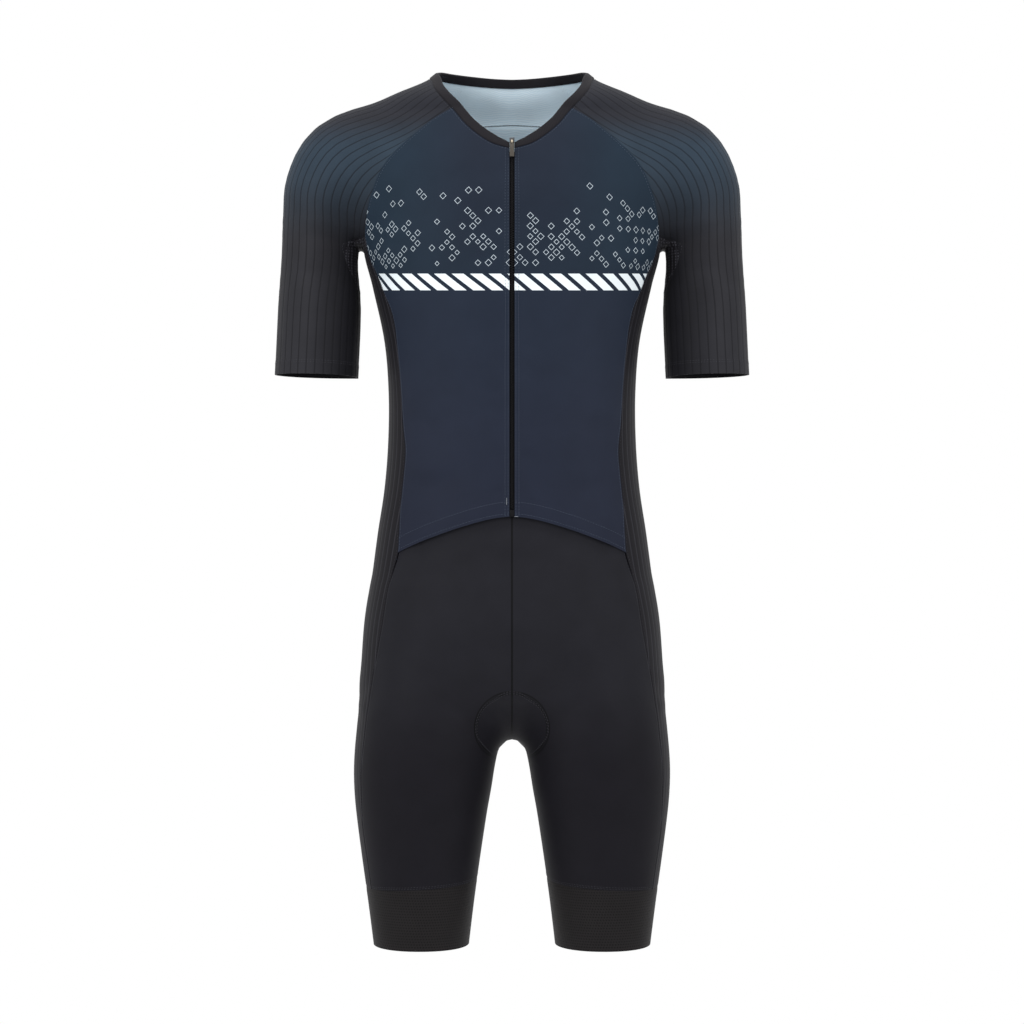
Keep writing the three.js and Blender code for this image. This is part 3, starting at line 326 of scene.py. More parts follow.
SIDE_SEAM = table("z front back", [
    (-880, 150.5, 150.5), (-850, 154.5, 154.5), (-815, 159.5, 159.5), (-780, 160.7, 160.7),
    (-762, 161.2, 161.2), (-745, 160.6, 160.6), (-730, 159.2, 159.6), (-712, 157, 158),
    (-685, 153.7, 154.8), (-655, 149, 151), (-625, 143.5, 147), (-595, 138, 143), (-565, 133.5, 139.5),
    (-540, 127.5, 136), (-518, 121.5, 132), (-495, 120.2, 128), (-470, 119, 124.2), (-440, 116, 120),
    (-410, 113.6, 118), (-380, 116.5, 118.8), (-340, 119, 121), (-300, 122.5, 125), (-265, 127.5, 131),
    (-240, 137.2, 139.5), (-222, 144.2, 145.2), (-205, 152, 152),
])
FRONT_HEM_ROW = list(SIDE_SEAM["z"]).index(-518)
WAIST_BACK_ROW = list(SIDE_SEAM["z"]).index(-440)
GUSSET = table("edge_x edge_z middle_z", [
    (175, -184, -194), (183, -188, -203), (179, -205, -215), (171, -222, -228),
])
GUSSET_RIDGE = {"x": 165, "y": 26, "below": 25}
GUSSET_TIP = {"z": -240, "half": 0.5}
INSEAM_Z = [-870, -826, -786, -758, -738]
SHORTS_FRONT_CENTRE_Z = [-717, -707, -692, -668, -640, -608, -580, -552, -524, -494, -464, -432, -400]
SHORTS_BACK_CENTRE_Z = [-717, -707, -688, -664, -638, -610, -582, -556, -532, -507, -480, -450]
CUFF_UNDERARM_Z = [-330, -301, -272]
SLEEVE_ROWS = table("outer_z top_x axis_x axis_z lean", [
    (-326, 0, 213, -326, 0), (-297, 0, 211, -297, 0), (-270, 0, 210, -270, 0), (-245, 0, 209, -240, 3),
    (-224, 0, 208, -222, 6), (-205, 0, 207, -205, 10), (-186, 0, 205, -188, 16), (-168, 0, 203, -175, 22),
    (-150, 0, 200, -160, 30), (-132, 0, 196, -145, 40), (-108, 0, 189, -128, 50), (-84, 0, 178, -112, 60),
    (0, 203, 163, -98, 68), (0, 176, 146, -88, 72), (0, 148, 126, -78, 74), (0, 118, 104, -70, 74),
])


def neckline_points(degrees):
    degrees = np.asarray(degrees, float)
    z = read(NECKLINE, "angle", "z", np.where(degrees > 180, 360 - degrees, degrees))
    turn = np.radians(degrees)
    return cast(spots(0, NECK_AXIS_Y, z), spots(np.sin(turn), -np.cos(turn), 0))


def zip_edge(x, z):
    return cast(spots(x, NECK_AXIS_Y, z), -Y_WAY)


def underarm(y, z):
    return cast(spots(FAR["underarm"], y, z), -X_WAY)


def pit_ceiling(y):
    return cast(spots(GUSSET_RIDGE["x"], y, ARMPIT["z"] - GUSSET_RIDGE["below"]), Z_WAY)


def seams_on(face, points, corner_angle, way):
    """One face's side seam, armpit, raglan seam and edge of the lens under the arm."""
    raglan = [points(RAGLAN[face + "_x"], RAGLAN[face + "_z"]), neckline_points([corner_angle])]
    lens = [
        pit_ceiling([way * GUSSET_RIDGE["y"]]), points(GUSSET["edge_x"], GUSSET["edge_z"]),
        underarm([way * GUSSET_TIP["half"]], [GUSSET_TIP["z"]]),
    ]
    armpit = points([ARMPIT["x"]], [ARMPIT["z"]])
    return points(SIDE_SEAM[face], SIDE_SEAM["z"]), armpit, np.vstack(raglan), np.vstack(lens)


front_seam, armpit_front, raglan_front, gusset_front = seams_on("front", front_points, FRONT_CORNER_ANGLE, -1)
back_seam, armpit_back, raglan_back, gusset_back = seams_on("back", back_points, BACK_CORNER_ANGLE, 1)
print("raglan seam ends at", raglan_front[-1].round(1), "and", raglan_back[-1].round(1))


# %% [markdown]
# ## Panels
# Each panel is a grid of points, as a pattern cutter's paper would be ruled. Its edges lie on
# the seams, its inside is cast on to the form and evened out, and a smooth curve through the
# points then gives as many rows and columns as the cloth's detail needs.

# %% Rows on the form
PANEL_COLUMNS = 8
SIDE_COLUMNS = 16
SLEEVE_COLUMNS = 52
TRUNK_AXIS = (0, NECK_AXIS_Y)


def rows_around(axis, starts, ends, count, bend=1.0, wrap=False):
    """Rows on the form from each start to its end, by angle about an upright axis."""
    axis = np.broadcast_to(np.asarray(axis, float), (len(starts), 2))

    def angle(p):
        a = np.arctan2(p[:, 0] - axis[:, 0], axis[:, 1] - p[:, 1])
        return np.where(wrap & (a < 0), a + 2 * np.pi, a)

    t = np.linspace(0, 1, count + 1)[None, 1:-1]
    turn = angle(starts)[:, None] * (1 - t) + angle(ends)[:, None] * t
    bend = np.broadcast_to(bend, len(starts))[:, None]
    z = starts[:, 2:3] + (ends[:, 2:3] - starts[:, 2:3]) * t ** bend
    inner = cast(spots(axis[:, :1], axis[:, 1:], z), spots(np.sin(turn), -np.cos(turn), 0))
    return np.concatenate([starts[:, None], inner, ends[:, None]], axis=1)


def rows_through(starts, middles, ends, count):
    """Rows on the form over three given points each."""
    t = np.linspace(0, 1, count + 1)[None, 1:-1, None]
    bow = starts[:, None] * (1 - t) * (1 - 2 * t) + middles[:, None] * 4 * t * (1 - t)
    inner = settle(bow + ends[:, None] * t * (2 * t - 1), 6)
    return np.concatenate([starts[:, None], inner, ends[:, None]], axis=1)


def relax(grid, rounds):
    """Evens out the inner points while the edges stay."""
    for _ in range(rounds):
        mean = (grid[:-2, 1:-1] + grid[2:, 1:-1] + grid[1:-1, :-2] + grid[1:-1, 2:]) / 4
        grid[1:-1, 1:-1] = settle(mean * 0.6 + grid[1:-1, 1:-1] * 0.4, 1)
    return grid


def mirrored(points):
    return points * np.array([-1.0, 1, 1])


def full_rows(half):
    return np.concatenate([mirrored(half[:, ::-1]), half[:, 1:]], axis=1)


print("columns of a panel, a side and a sleeve:", PANEL_COLUMNS, SIDE_COLUMNS, SLEEVE_COLUMNS)


# %% Grids of the fronts, back and yoke
def front_grid():
    side = np.vstack([front_seam[FRONT_HEM_ROW:], armpit_front, raglan_front])
    sewn = len(side) - len(raglan_front)
    rows = np.arange(len(side))
    low = rows < sewn
    t_low = (side[:, 2] - ARMPIT["z"]) / (FRONT_HEM["side"] - ARMPIT["z"])
    t_high = (rows - sewn + 1) / len(raglan_front)
    drop = FRONT_HEM["centre"] - FRONT_HEM["side"]
    high_z = ARMPIT["z"] + (NECKLINE_FRONT_Z - ARMPIT["z"]) * t_high
    centre = np.where(low, side[:, 2] + drop * t_low, high_z)
    bend = np.where(low, 1 + (FRONT_HEM["bend"] - 1) * t_low, 1 + 0.4 * t_high)
    grid = rows_around(TRUNK_AXIS, zip_edge(ZIP_OPENING_HALF, centre), side, PANEL_COLUMNS, bend)
    start = grid[-1, 0]
    start_angle = math.degrees(math.atan2(start[0], NECK_AXIS_Y - start[1]))
    grid[-1, 1:-1] = neckline_points(np.linspace(start_angle, FRONT_CORNER_ANGLE, PANEL_COLUMNS + 1)[1:-1])
    return relax(grid, 12)


def back_rows(centre_z, side, bend=1.5):
    centre = cast(spots(0, NECK_AXIS_Y, centre_z), Y_WAY)
    return full_rows(rows_around(TRUNK_AXIS, centre, side, PANEL_COLUMNS, bend, True))


YOKE_INDEX = len(RAGLAN["back_x"]) - 2
yoke_seam = back_rows([YOKE_SEAM_CENTRE_Z], raglan_back[YOKE_INDEX:YOKE_INDEX + 1])


def back_grid():
    low = np.vstack([back_seam[WAIST_BACK_ROW:], armpit_back])
    waist_z = low[0, 2]
    t = (low[:, 2] - ARMPIT["z"]) / (waist_z - ARMPIT["z"])
    low_rows = back_rows(low[:, 2] + (WAIST_SEAM_CENTRE_Z - waist_z) * t, low)
    share = (np.arange(YOKE_INDEX) + 1) / (YOKE_INDEX + 1)
    high_z = ARMPIT["z"] + (YOKE_SEAM_CENTRE_Z - ARMPIT["z"]) * share
    high_rows = back_rows(high_z, raglan_back[:YOKE_INDEX])
    return relax(np.concatenate([low_rows, high_rows, yoke_seam]), 12)


def yoke_grid():
    angles = np.linspace(360 - BACK_CORNER_ANGLE, BACK_CORNER_ANGLE, 2 * PANEL_COLUMNS + 1)
    neck = neckline_points(angles)[None]
    middle_z = (YOKE_SEAM_CENTRE_Z + neck[0, PANEL_COLUMNS, 2]) / 2
    middle = back_rows([middle_z], raglan_back[YOKE_INDEX + 1:YOKE_INDEX + 2])
    return relax(np.concatenate([yoke_seam, middle, neck]), 6)


fronts = front_grid()
back = back_grid()
yoke = yoke_grid()
print("rows and columns of the upper panels:", [grid.shape[:2] for grid in (fronts, back, yoke)])


# %% Grids of the sides and sleeves
def side_grid():
    middle_y = (front_seam[:, 1] + back_seam[:, 1]) / 2
    middles = cast(spots(90, middle_y, SIDE_SEAM["z"]), X_WAY)
    pit = cast(spots([120], 0, ARMPIT["middle_z"]), X_WAY)
    over = np.vstack([pit_ceiling([0]), underarm(0, GUSSET["middle_z"]), underarm([0], GUSSET_TIP["z"])])
    starts = np.vstack([front_seam, armpit_front, gusset_front])
    ends = np.vstack([back_seam, armpit_back, gusset_back])
    return relax(rows_through(starts, np.vstack([middles, pit, over]), ends, SIDE_COLUMNS), 4)


def sleeve_grid():
    """From the underarm seam round the arm, then up between the raglan seams to the neck."""
    cuff = underarm(0, CUFF_UNDERARM_Z)
    columns = SLEEVE_COLUMNS
    starts = np.vstack([cuff, gusset_front[::-1], armpit_front, raglan_front])
    ends = np.vstack([cuff, gusset_back[::-1], armpit_back, raglan_back])
    t = np.linspace(0, 1, columns + 1)
    grid = np.empty((len(starts), columns + 1, 3))
    for r in range(len(starts) - 1):
        place = {name: column[r] for name, column in SLEEVE_ROWS.items()}
        lean = math.radians(place["lean"])
        along = np.array([-math.sin(lean), 0, math.cos(lean)])
        outward = np.array([math.cos(lean), 0, math.sin(lean)])
        axis = np.array([place["axis_x"], 4, place["axis_z"]])
        if place["top_x"]:
            middle = cast(spots(place["top_x"], 6, FAR["top"])[None], -Z_WAY)[0]
        else:
            middle = cast(spots(FAR["arm"], 2, place["outer_z"])[None], -X_WAY)[0]
        angles = []
        for point, sign in ((starts[r], -1), (ends[r], 1)):
            d = point - axis
            turn = math.atan2(d[1], d @ outward)
            angles.append(turn + sign * 2 * math.pi if turn * sign < 0 else turn)
        if r < len(cuff):
            angles = [-math.pi, math.pi]
        a, b = angles
        h_a, h_m, h_b = ((p - axis) @ along for p in (starts[r], middle, ends[r]))
        turn = a + (b - a) * t
        height = turn * (turn - b) / (a * (a - b)) * h_a
        height += (turn - a) * (turn - b) / (a * b) * h_m
        height += (turn - a) * turn / ((b - a) * b) * h_b
        ways = outward * np.cos(turn)[:, None] + Y_WAY * np.sin(turn)[:, None]
        grid[r] = cast(axis + along * height[:, None], ways)
        grid[r, 0] = starts[r]
        grid[r, -1] = ends[r]
    grid[-1] = neckline_points(FRONT_CORNER_ANGLE + (BACK_CORNER_ANGLE - FRONT_CORNER_ANGLE) * t)
    return relax(grid, 16)


side = side_grid()
sleeve = sleeve_grid()
print("rows and columns of a side and a sleeve:", side.shape[:2], sleeve.shape[:2])


# %% Grids of the shorts
def leg_middle(z):
    return read(LEG, "z", "middle", np.clip(z, LEG["z"][-1], LEG["z"][0]))


inseam = cast(spots(leg_middle(np.array(INSEAM_Z)), CROTCH["y"], INSEAM_Z), -X_WAY)
crotch = cast(spots([0], CROTCH["y"], CROTCH["z"]), -Z_WAY)


def shorts_grid(seam, centre_z, way):
    centre = cast(spots(0, CROTCH["y"], centre_z), way * Y_WAY)
    starts = np.vstack([inseam, crotch, centre])
    ends = seam[:len(starts)]
    axis = np.stack([leg_middle((starts[:, 2] + ends[:, 2]) / 2), np.full(len(starts), 4.0)], axis=1)
    return relax(rows_around(axis, starts, ends, PANEL_COLUMNS, 1.0, way > 0), 12)


shorts_front = shorts_grid(front_seam, SHORTS_FRONT_CENTRE_Z, -1)
shorts_back = shorts_grid(back_seam, SHORTS_BACK_CENTRE_Z, 1)
print("rows and columns of the shorts:", shorts_front.shape[:2], shorts_back.shape[:2])


# %% Finer rows and columns by a smooth curve
def places(spans, steps, near=()):
    """Where to sample a curve of so many spans: even steps, and a few more beside both ends."""
    even = np.linspace(0, spans, spans * steps + 1)
    return np.unique(np.concatenate([even, near, spans - np.array(near)]).round(5))


def through(points, s, axis=0):
    """Points at places s on the smooth curves through a grid's points along one axis."""
    p = np.moveaxis(points, axis, 0)
    p = np.concatenate([2 * p[:1] - p[1:2], p, 2 * p[-1:] - p[-2:-1]])
    i = np.minimum(s.astype(int), len(p) - 4)
    t = (s - i).reshape((-1,) + (1,) * (p.ndim - 1))
    a, b, c, d = (p[i + k] for k in range(4))
    curve = b + 0.5 * t * ((c - a) + t * (2 * a - 5 * b + 4 * c - d + t * (3 * b - a - 3 * c + d)))
    return np.moveaxis(curve, 0, axis)


def seam_at(s, *parts):
    """Points at places s of a seam that is smooth within each part and may turn between them."""
    out = np.empty((len(s), 3))
    first = 0
    for part in parts:
        here = (s >= first) & (s <= first + len(part) - 1)
        out[here] = through(part, s[here] - first)
        first += len(part) - 1
    return settle(out)


def lengths(points, axis):
    """How far along its line each point lies, in millimetres."""
    step = np.linalg.norm(np.diff(points, axis=axis), axis=-1)
    first = np.zeros_like(np.take(step, [0], axis=axis))
    return np.concatenate([first, np.cumsum(step, axis=axis)], axis=axis)


def measured(at, middle=0):
    """A skin: its points and normals, and how far each point lies from the panel's edges.
    across is signed from the middle column."""
    across = lengths(at, 1)
    along = lengths(at, 0)
    return {
        "at": at, "normal": normals_at(at), "across": across - across[:, middle:middle + 1],
        "start": across, "end": across[:, -1:] - across, "bottom": along, "top": along[-1:] - along,
    }


def skin_of(grid, rows, columns, start=None, end=None, top=None, middle=None):
    """A panel's fine skin. Its edges move on to the shared seams, and the change eases away inside."""
    at = through(through(grid, rows, 0), columns, 1)

    def ease(line, away):
        return line * np.clip(1 - away, 0, 1)[:, None] ** 2

    if start is not None:
        at += ease((start - at[:, 0])[:, None], columns)
    if end is not None:
        at += ease((end - at[:, -1])[:, None], columns[-1] - columns)
    if top is not None:
        at += ease((top - at[-1])[:, None], rows[-1] - rows).transpose(1, 0, 2)
    return measured(settle(at), 0 if middle is None else int(np.searchsorted(columns, middle)))


SEAM_SIDES = (0.03, 0.08, 0.16)
print("places along two spans, closer at the seams:", places(2, 2, SEAM_SIDES))

# %% Fine skins of the panels
armpit_to_neck_front = np.vstack([armpit_front, raglan_front])
armpit_to_neck_back = np.vstack([armpit_back, raglan_back])
leg_to_armpit_front = np.vstack([front_seam, armpit_front])
leg_to_armpit_back = np.vstack([back_seam, armpit_back])
cuff_line = underarm(0, CUFF_UNDERARM_Z)
inseam_line = np.vstack([inseam, crotch])


def front_panel():
    rows = places(len(fronts) - 1, 10, SEAM_SIDES)
    columns = places(PANEL_COLUMNS, 8, (0.03, 0.07, 0.14, 0.2, 0.28, 0.32, 0.36))
    edge = seam_at(rows + FRONT_HEM_ROW, leg_to_armpit_front, armpit_to_neck_front)
    return skin_of(fronts, rows, columns, end=edge)


def back_and_yoke():
    skins = []
    columns = places(2 * PANEL_COLUMNS, 6, SEAM_SIDES)
    for grid, first in ((back, WAIST_BACK_ROW), (yoke, WAIST_BACK_ROW + len(back) - 1)):
        rows = places(len(grid) - 1, 8, SEAM_SIDES)
        edge = seam_at(rows + first, leg_to_armpit_back, armpit_to_neck_back)
        skins.append(skin_of(grid, rows, columns, mirrored(edge), edge, middle=PANEL_COLUMNS))
    return skins


def side_panel():
    rows = places(len(side) - 1, 6, SEAM_SIDES)
    columns = places(SIDE_COLUMNS, 6, (0.08,))
    start = seam_at(rows, leg_to_armpit_front, np.vstack([armpit_front, gusset_front]))
    end = seam_at(rows, leg_to_armpit_back, np.vstack([armpit_back, gusset_back]))
    return skin_of(side, rows, columns, start, end, middle=SIDE_COLUMNS / 2)


def sleeve_panel():
    rows = places(len(sleeve) - 1, 6, SEAM_SIDES + (0.42, 0.46, 0.5, 0.54))
    columns = places(SLEEVE_COLUMNS, 6)
    edges = []
    for lens, armpit, over in (
        (gusset_front, armpit_front, armpit_to_neck_front), (gusset_back, armpit_back, armpit_to_neck_back),
    ):
        under = np.vstack([cuff_line, lens[-1:]])
        edges.append(seam_at(rows, under, np.vstack([lens[::-1], armpit]), over))
    return skin_of(sleeve, rows, columns, *edges, middle=SLEEVE_COLUMNS / 2)


def shorts_panel(grid, sewn, centre_z, way, waist=None):
    rows = places(len(grid) - 1, 6, SEAM_SIDES)
    columns = places(PANEL_COLUMNS, 8, SEAM_SIDES)
    centre = np.vstack([crotch, cast(spots(0, CROTCH["y"], centre_z), way * Y_WAY)])
    top = None
    if waist is not None:
        top_x = through(grid[-1], columns)[:, 0]
        top = np.stack([top_x] + [np.interp(top_x, waist[:, 0], waist[:, k]) for k in (1, 2)], axis=1)
    return skin_of(grid, rows, columns, seam_at(rows, inseam_line, centre), seam_at(rows, sewn), top)


front_skin = front_panel()
back_skin, yoke_skin = back_and_yoke()
side_skin = side_panel()
sleeve_skin = sleeve_panel()
shorts_front_skin = shorts_panel(shorts_front, leg_to_armpit_front, SHORTS_FRONT_CENTRE_Z, -1)
waist_line = back_skin["at"][0]
shorts_back_skin = shorts_panel(shorts_back, leg_to_armpit_back, SHORTS_BACK_CENTRE_Z, 1, waist_line)
print("sleeve round the cuff, mm:", round(float(sleeve_skin["start"][0, -1])))
print("front, zip to side seam at the hem, mm:", round(float(front_skin["start"][0, -1])))

# %% [markdown]
# Under the panels, an elastic mesh band grips each leg. It is a ring that starts on the three
# panels' lowest rows and runs down to the hem. The collar is bound with a strip of knit,
# folded over the edge. It walks up the form from the neckline, ten millimetres wide.

# %% Leg gripper and collar binding
def closed_ring(points):
    return np.vstack([points, points[:1]])


def gripper_ring(rows=15):
    ring = [shorts_front_skin["at"][0][:-1], side_skin["at"][0][:-1], shorts_back_skin["at"][0][::-1][:-1]]
    top = closed_ring(np.vstack(ring))
    axis = spots(leg_middle(top[:, 2]), 4, top[:, 2])
    down = [top]
    for t in np.linspace(0, 1, rows)[1:]:
        z = top[:, 2] + (LEG_HEM_Z - top[:, 2]) * t
        down.append(cast(spots(axis[:, 0], axis[:, 1], z), (top - axis) * np.array([1.0, 1, 0])))
    return measured(np.array(down[::-1]))


def evenly(points, step):
    """The same line with its points evenly apart."""
    run = lengths(points[None], 1)[0]
    even = np.linspace(0, run[-1], max(int(run[-1] / step), 1) + 1)
    return np.stack([np.interp(even, run, points[:, k]) for k in range(3)], axis=1)


BINDING = {"width": 10, "proud": 0.8, "depth": 2.3, "round": 1.2, "step": 2.4, "upright": 7, "zip_end": 0.7,
           "narrowing": 24, "zip_part": 30}
BINDING_RISE = np.array([0, 0.5, 1.2, 2.6, 4.4, 6.2, 7.8, 8.8, 9.4, 9.75, 9.93, 10])


def binding_strip():
    neck = yoke_skin["at"][-1][::-1]
    half = np.vstack([front_skin["at"][-1], sleeve_skin["at"][-1][1:], neck[neck[:, 0] > -1e-4][1:]])
    half = settle(evenly(half, BINDING["step"]))
    ring = np.vstack([half, mirrored(half[:-1])[::-1]])
    tangent = np.gradient(ring, axis=0)
    up = np.cross(normals_at(ring), tangent)
    up *= np.where(up[:, 2:] < 0, -1, 1) / np.linalg.norm(up, axis=1)[:, None]
    run = lengths(ring[None], 1)[0]
    from_zip = np.minimum(run, run[-1] - run)
    steep = smoothstep(0, BINDING["upright"], from_zip)[:, None]
    way = up * steep + Z_WAY * (1 - steep)
    full = BINDING["zip_end"] + (1 - BINDING["zip_end"]) * smoothstep(0, BINDING["narrowing"], from_zip)
    rows = [ring]
    for rise in np.diff(BINDING_RISE):
        normal = normals_at(rows[-1])
        way = way - normal * (way * normal).sum(1)[:, None]
        way /= np.linalg.norm(way, axis=1)[:, None]
        rows.append(settle(rows[-1] + way * rise * full[:, None]))
    at = np.array(rows)
    front = from_zip < BINDING["zip_part"]
    hand = np.sign(ring[front, 0])
    at[:, front, 0] = hand * np.maximum(hand * at[:, front, 0], ZIP_OPENING_HALF)
    return measured(at)


gripper_skin = gripper_ring()
binding_skin = binding_strip()
print("gripper round its hem, mm:", round(float(gripper_skin["start"][0, -1])))
print("collar binding, mm long:", round(float(binding_skin["start"][0, -1])))

# %% [markdown]
# ## Creases
# Stretch cloth held out by a body has few folds. The ones it has run from where it is pulled:
# the armpits, the zip, the waist, the crotch and the back of the knee. They are placed one by one
# from the photograph, uneven in length, depth and spacing. Each is a soft trough with a
# low ridge beside it, so the light catches one side.

# %% Creases placed one by one
CREASES = table("face x0 z0 x1 z1 bow depth width", [
    (-1, 150, -176, 104, -200, 5, 0.9, 6), (-1, 146, -214, 118, -221, 2, 0.6, 5),
    (-1, 139, -246, 96, -262, 4, 0.5, 7), (-1, 118, -398, 66, -386, -5, 0.8, 9),
    (-1, 119, -436, 48, -448, 6, 1.0, 10), (-1, 4, -301, 33, -308, 2, 0.5, 5),
    (-1, 4, -417, 29, -424, 2, 0.6, 6), (-1, 62, -468, 72, -506, 3, -0.7, 8),
    (-1, 21, -455, 27, -488, -2, 0.6, 6), (-1, -151, -181, -98, -192, -4, 0.8, 7),
    (-1, -144, -222, -121, -232, -2, 0.5, 5), (-1, -128, -276, -92, -284, 3, 0.5, 8),
    (-1, -116, -379, -72, -391, 5, 0.6, 8), (-1, -118, -447, -40, -431, -6, 1.1, 11),
    (-1, -4, -348, -36, -344, 2, 0.5, 5), (-1, -4, -452, -26, -459, -2, 0.5, 6),
    (-1, -84, -478, -90, -511, -3, -0.6, 8), (-1, 18, -716, 92, -668, 7, 1.1, 8),
    (-1, 24, -741, 118, -722, 6, 0.7, 9), (-1, 44, -640, 128, -612, -5, 0.6, 11),
    (-1, 70, -872, 118, -866, 3, 0.6, 6), (-1, 82, -792, 142, -806, -4, 0.5, 9),
    (-1, -17, -712, -78, -676, -6, 0.9, 7), (-1, -26, -738, -126, -708, -8, 0.8, 10),
    (-1, -38, -652, -104, -640, 5, 0.5, 10), (-1, -76, -869, -112, -874, -3, 0.5, 6),
    (-1, -62, -806, -118, -798, 5, 0.5, 8), (-1, 176, -196, 236, -172, 7, 1.0, 8),
    (-1, 184, -222, 243, -214, 4, 0.6, 7), (-1, 178, -286, 232, -300, -5, 0.5, 9),
    (-1, -175, -194, -230, -178, -6, 0.9, 7), (-1, -183, -229, -246, -217, -5, 0.7, 8),
    (-1, -186, -262, -224, -268, 3, 0.4, 7), (1, 110, -402, 8, -392, -7, 1.2, 11),
    (1, 104, -436, -18, -428, 6, 0.9, 12), (1, -112, -384, -24, -396, 6, 1.0, 10),
    (1, -108, -452, -36, -462, -5, 0.8, 11), (1, 150, -168, 96, -142, -6, 1.0, 8),
    (1, -149, -174, -88, -156, 6, 0.9, 8), (1, 142, -212, 84, -228, 5, 0.6, 9),
    (1, -138, -230, -92, -219, -4, 0.5, 8), (1, 16, -722, 102, -694, 8, 1.4, 9),
    (1, 22, -750, 126, -744, 7, 1.0, 9), (1, -14, -726, -96, -702, -8, 1.2, 8),
    (1, -24, -762, -132, -746, -6, 0.9, 10), (1, 60, -856, 132, -864, -4, 0.8, 8),
    (1, -66, -862, -128, -852, 5, 0.7, 8), (1, 176, -204, 240, -190, 6, 1.0, 8),
    (1, -178, -210, -238, -184, -7, 0.9, 8), (1, 182, -262, 236, -250, 5, 0.6, 9),
])


RIDGE = {"beside": 1.8, "height": 0.45}


def creases(points):
    """Millimetres out of the cloth, at points on the form."""
    x, y, z = np.moveaxis(points, -1, 0)
    out = np.zeros(x.shape)
    for face, x0, z0, x1, z1, bow, depth, width in zip(*CREASES.values()):
        length = math.hypot(x1 - x0, z1 - z0)
        dx, dz = (x1 - x0) / length, (z1 - z0) / length
        t = ((x - x0) * dx + (z - z0) * dz) / length
        off = (z - z0) * dx - (x - x0) * dz - 4 * bow * t * (1 - t)
        run = smoothstep(0, 0.3, t) * smoothstep(1, 0.55, t) * smoothstep(-12, 12, face * y)
        trough = np.exp(-(off / width) ** 2)
        ridge = np.exp(-((off - RIDGE["beside"] * width) / width) ** 2)
        out -= depth * run * (trough - RIDGE["height"] * ridge)
    return out


print("creases:", len(CREASES["face"]), "deepest, mm:", CREASES["depth"].max())


# %% [markdown]
# ## Relief
# Up close a panel isn't flat. Hems and zip welts are doubled cloth, a seam is a shallow
# valley, and the ribbed cloth has narrow grooves between flat bands, nine millimetres or so
# apart. These are offsets of the outer face. The inner face stays plain.

# %% Offsets of the outer face
def hem_height(x):
    return FRONT_HEM["centre"] + (FRONT_HEM["side"] - FRONT_HEM["centre"]) * (
        (np.abs(x) / FRONT_HEM["half"]) ** FRONT_HEM["bend"]
    )


def flap_lift(points):
    """How far the loose hem of the fronts stands off the shorts."""
    x, z = points[..., 0], points[..., 2]
    low = smoothstep(hem_height(x) + FRONT_HEM["fade"], hem_height(x), z)
    far, near = (FRONT_HEM["half"] - FRONT_HEM[key] for key in ("ease", "sewn"))
    sewn = smoothstep(far, near, np.abs(x))
    return FRONT_HEM["lift"] * low * (1 - sewn)


def shorts_recess(points):
    """How far the shorts lie back behind the fronts."""
    top = hem_height(points[..., 0]) - SHORTS_RECESS["start"]
    far, near = (FRONT_HEM["half"] - SHORTS_RECESS[key] for key in ("ease", "sewn"))
    share = 1 - SHORTS_RECESS["less"] * smoothstep(far, near, np.abs(points[..., 0]))
    return -SHORTS_RECESS["depth"] * share * smoothstep(top - SHORTS_RECESS["length"], top, points[..., 2])


def valleys(skin, edges, depth=0.4, width=1.1):
    return sum(-depth * np.exp(-(skin[edge] / width) ** 2) for edge in edges)


def doubled(skin, edge, width, height=0.35):
    return height * smoothstep(width + 0.9, width - 0.9, skin[edge])


RIB = {"pitch": 9.4, "half": 0.8, "depth": 0.3}


def ribs(skin, edges, strength=1.0):
    """Narrow grooves along the panel, running out at its sewn edges."""
    away = np.abs((skin["across"] / RIB["pitch"]) % 1 - 0.5) * RIB["pitch"]
    fade = np.minimum.reduce([smoothstep(1, 6, skin[edge]) for edge in edges])
    return -RIB["depth"] * strength * fade * np.exp(-(away / RIB["half"]) ** 2)


# %% [markdown]
# A panel becomes a closed wall: an outer face, an inner face about nine tenths of a millimetre
# behind it, and rims round the edge. The left pieces are mirrored for the right. Positions
# along and across the cloth are kept in millimetres as UVs, so patterns follow the cloth.

# %% Build the walls
def mesh_piece(name, vertices, faces, uvs=None, materials=(), inner=None):
    """A mesh object at the origin. vertices are in millimetres."""
    mesh = bpy.data.meshes.new(name)
    faces = faces.tolist() if isinstance(faces, np.ndarray) else faces
    mesh.from_pydata(np.asarray(vertices) * MM, [], faces)
    if uvs is not None:
        mesh.uv_layers.new(name="cloth_mm").data.foreach_set("uv", np.asarray(uvs, np.float32).ravel())
    for material in materials:
        mesh.materials.append(material)
    if inner is not None:
        mesh.polygons.foreach_set("material_index", np.asarray(inner, np.int32))
    mesh.polygons.foreach_set("use_smooth", np.ones(len(mesh.polygons), bool))
    mesh.set_sharp_from_angle(angle=math.radians(48))
    mesh.update()
    piece = bpy.data.objects.new(name, mesh)
    bpy.context.scene.collection.objects.link(piece)
    return piece


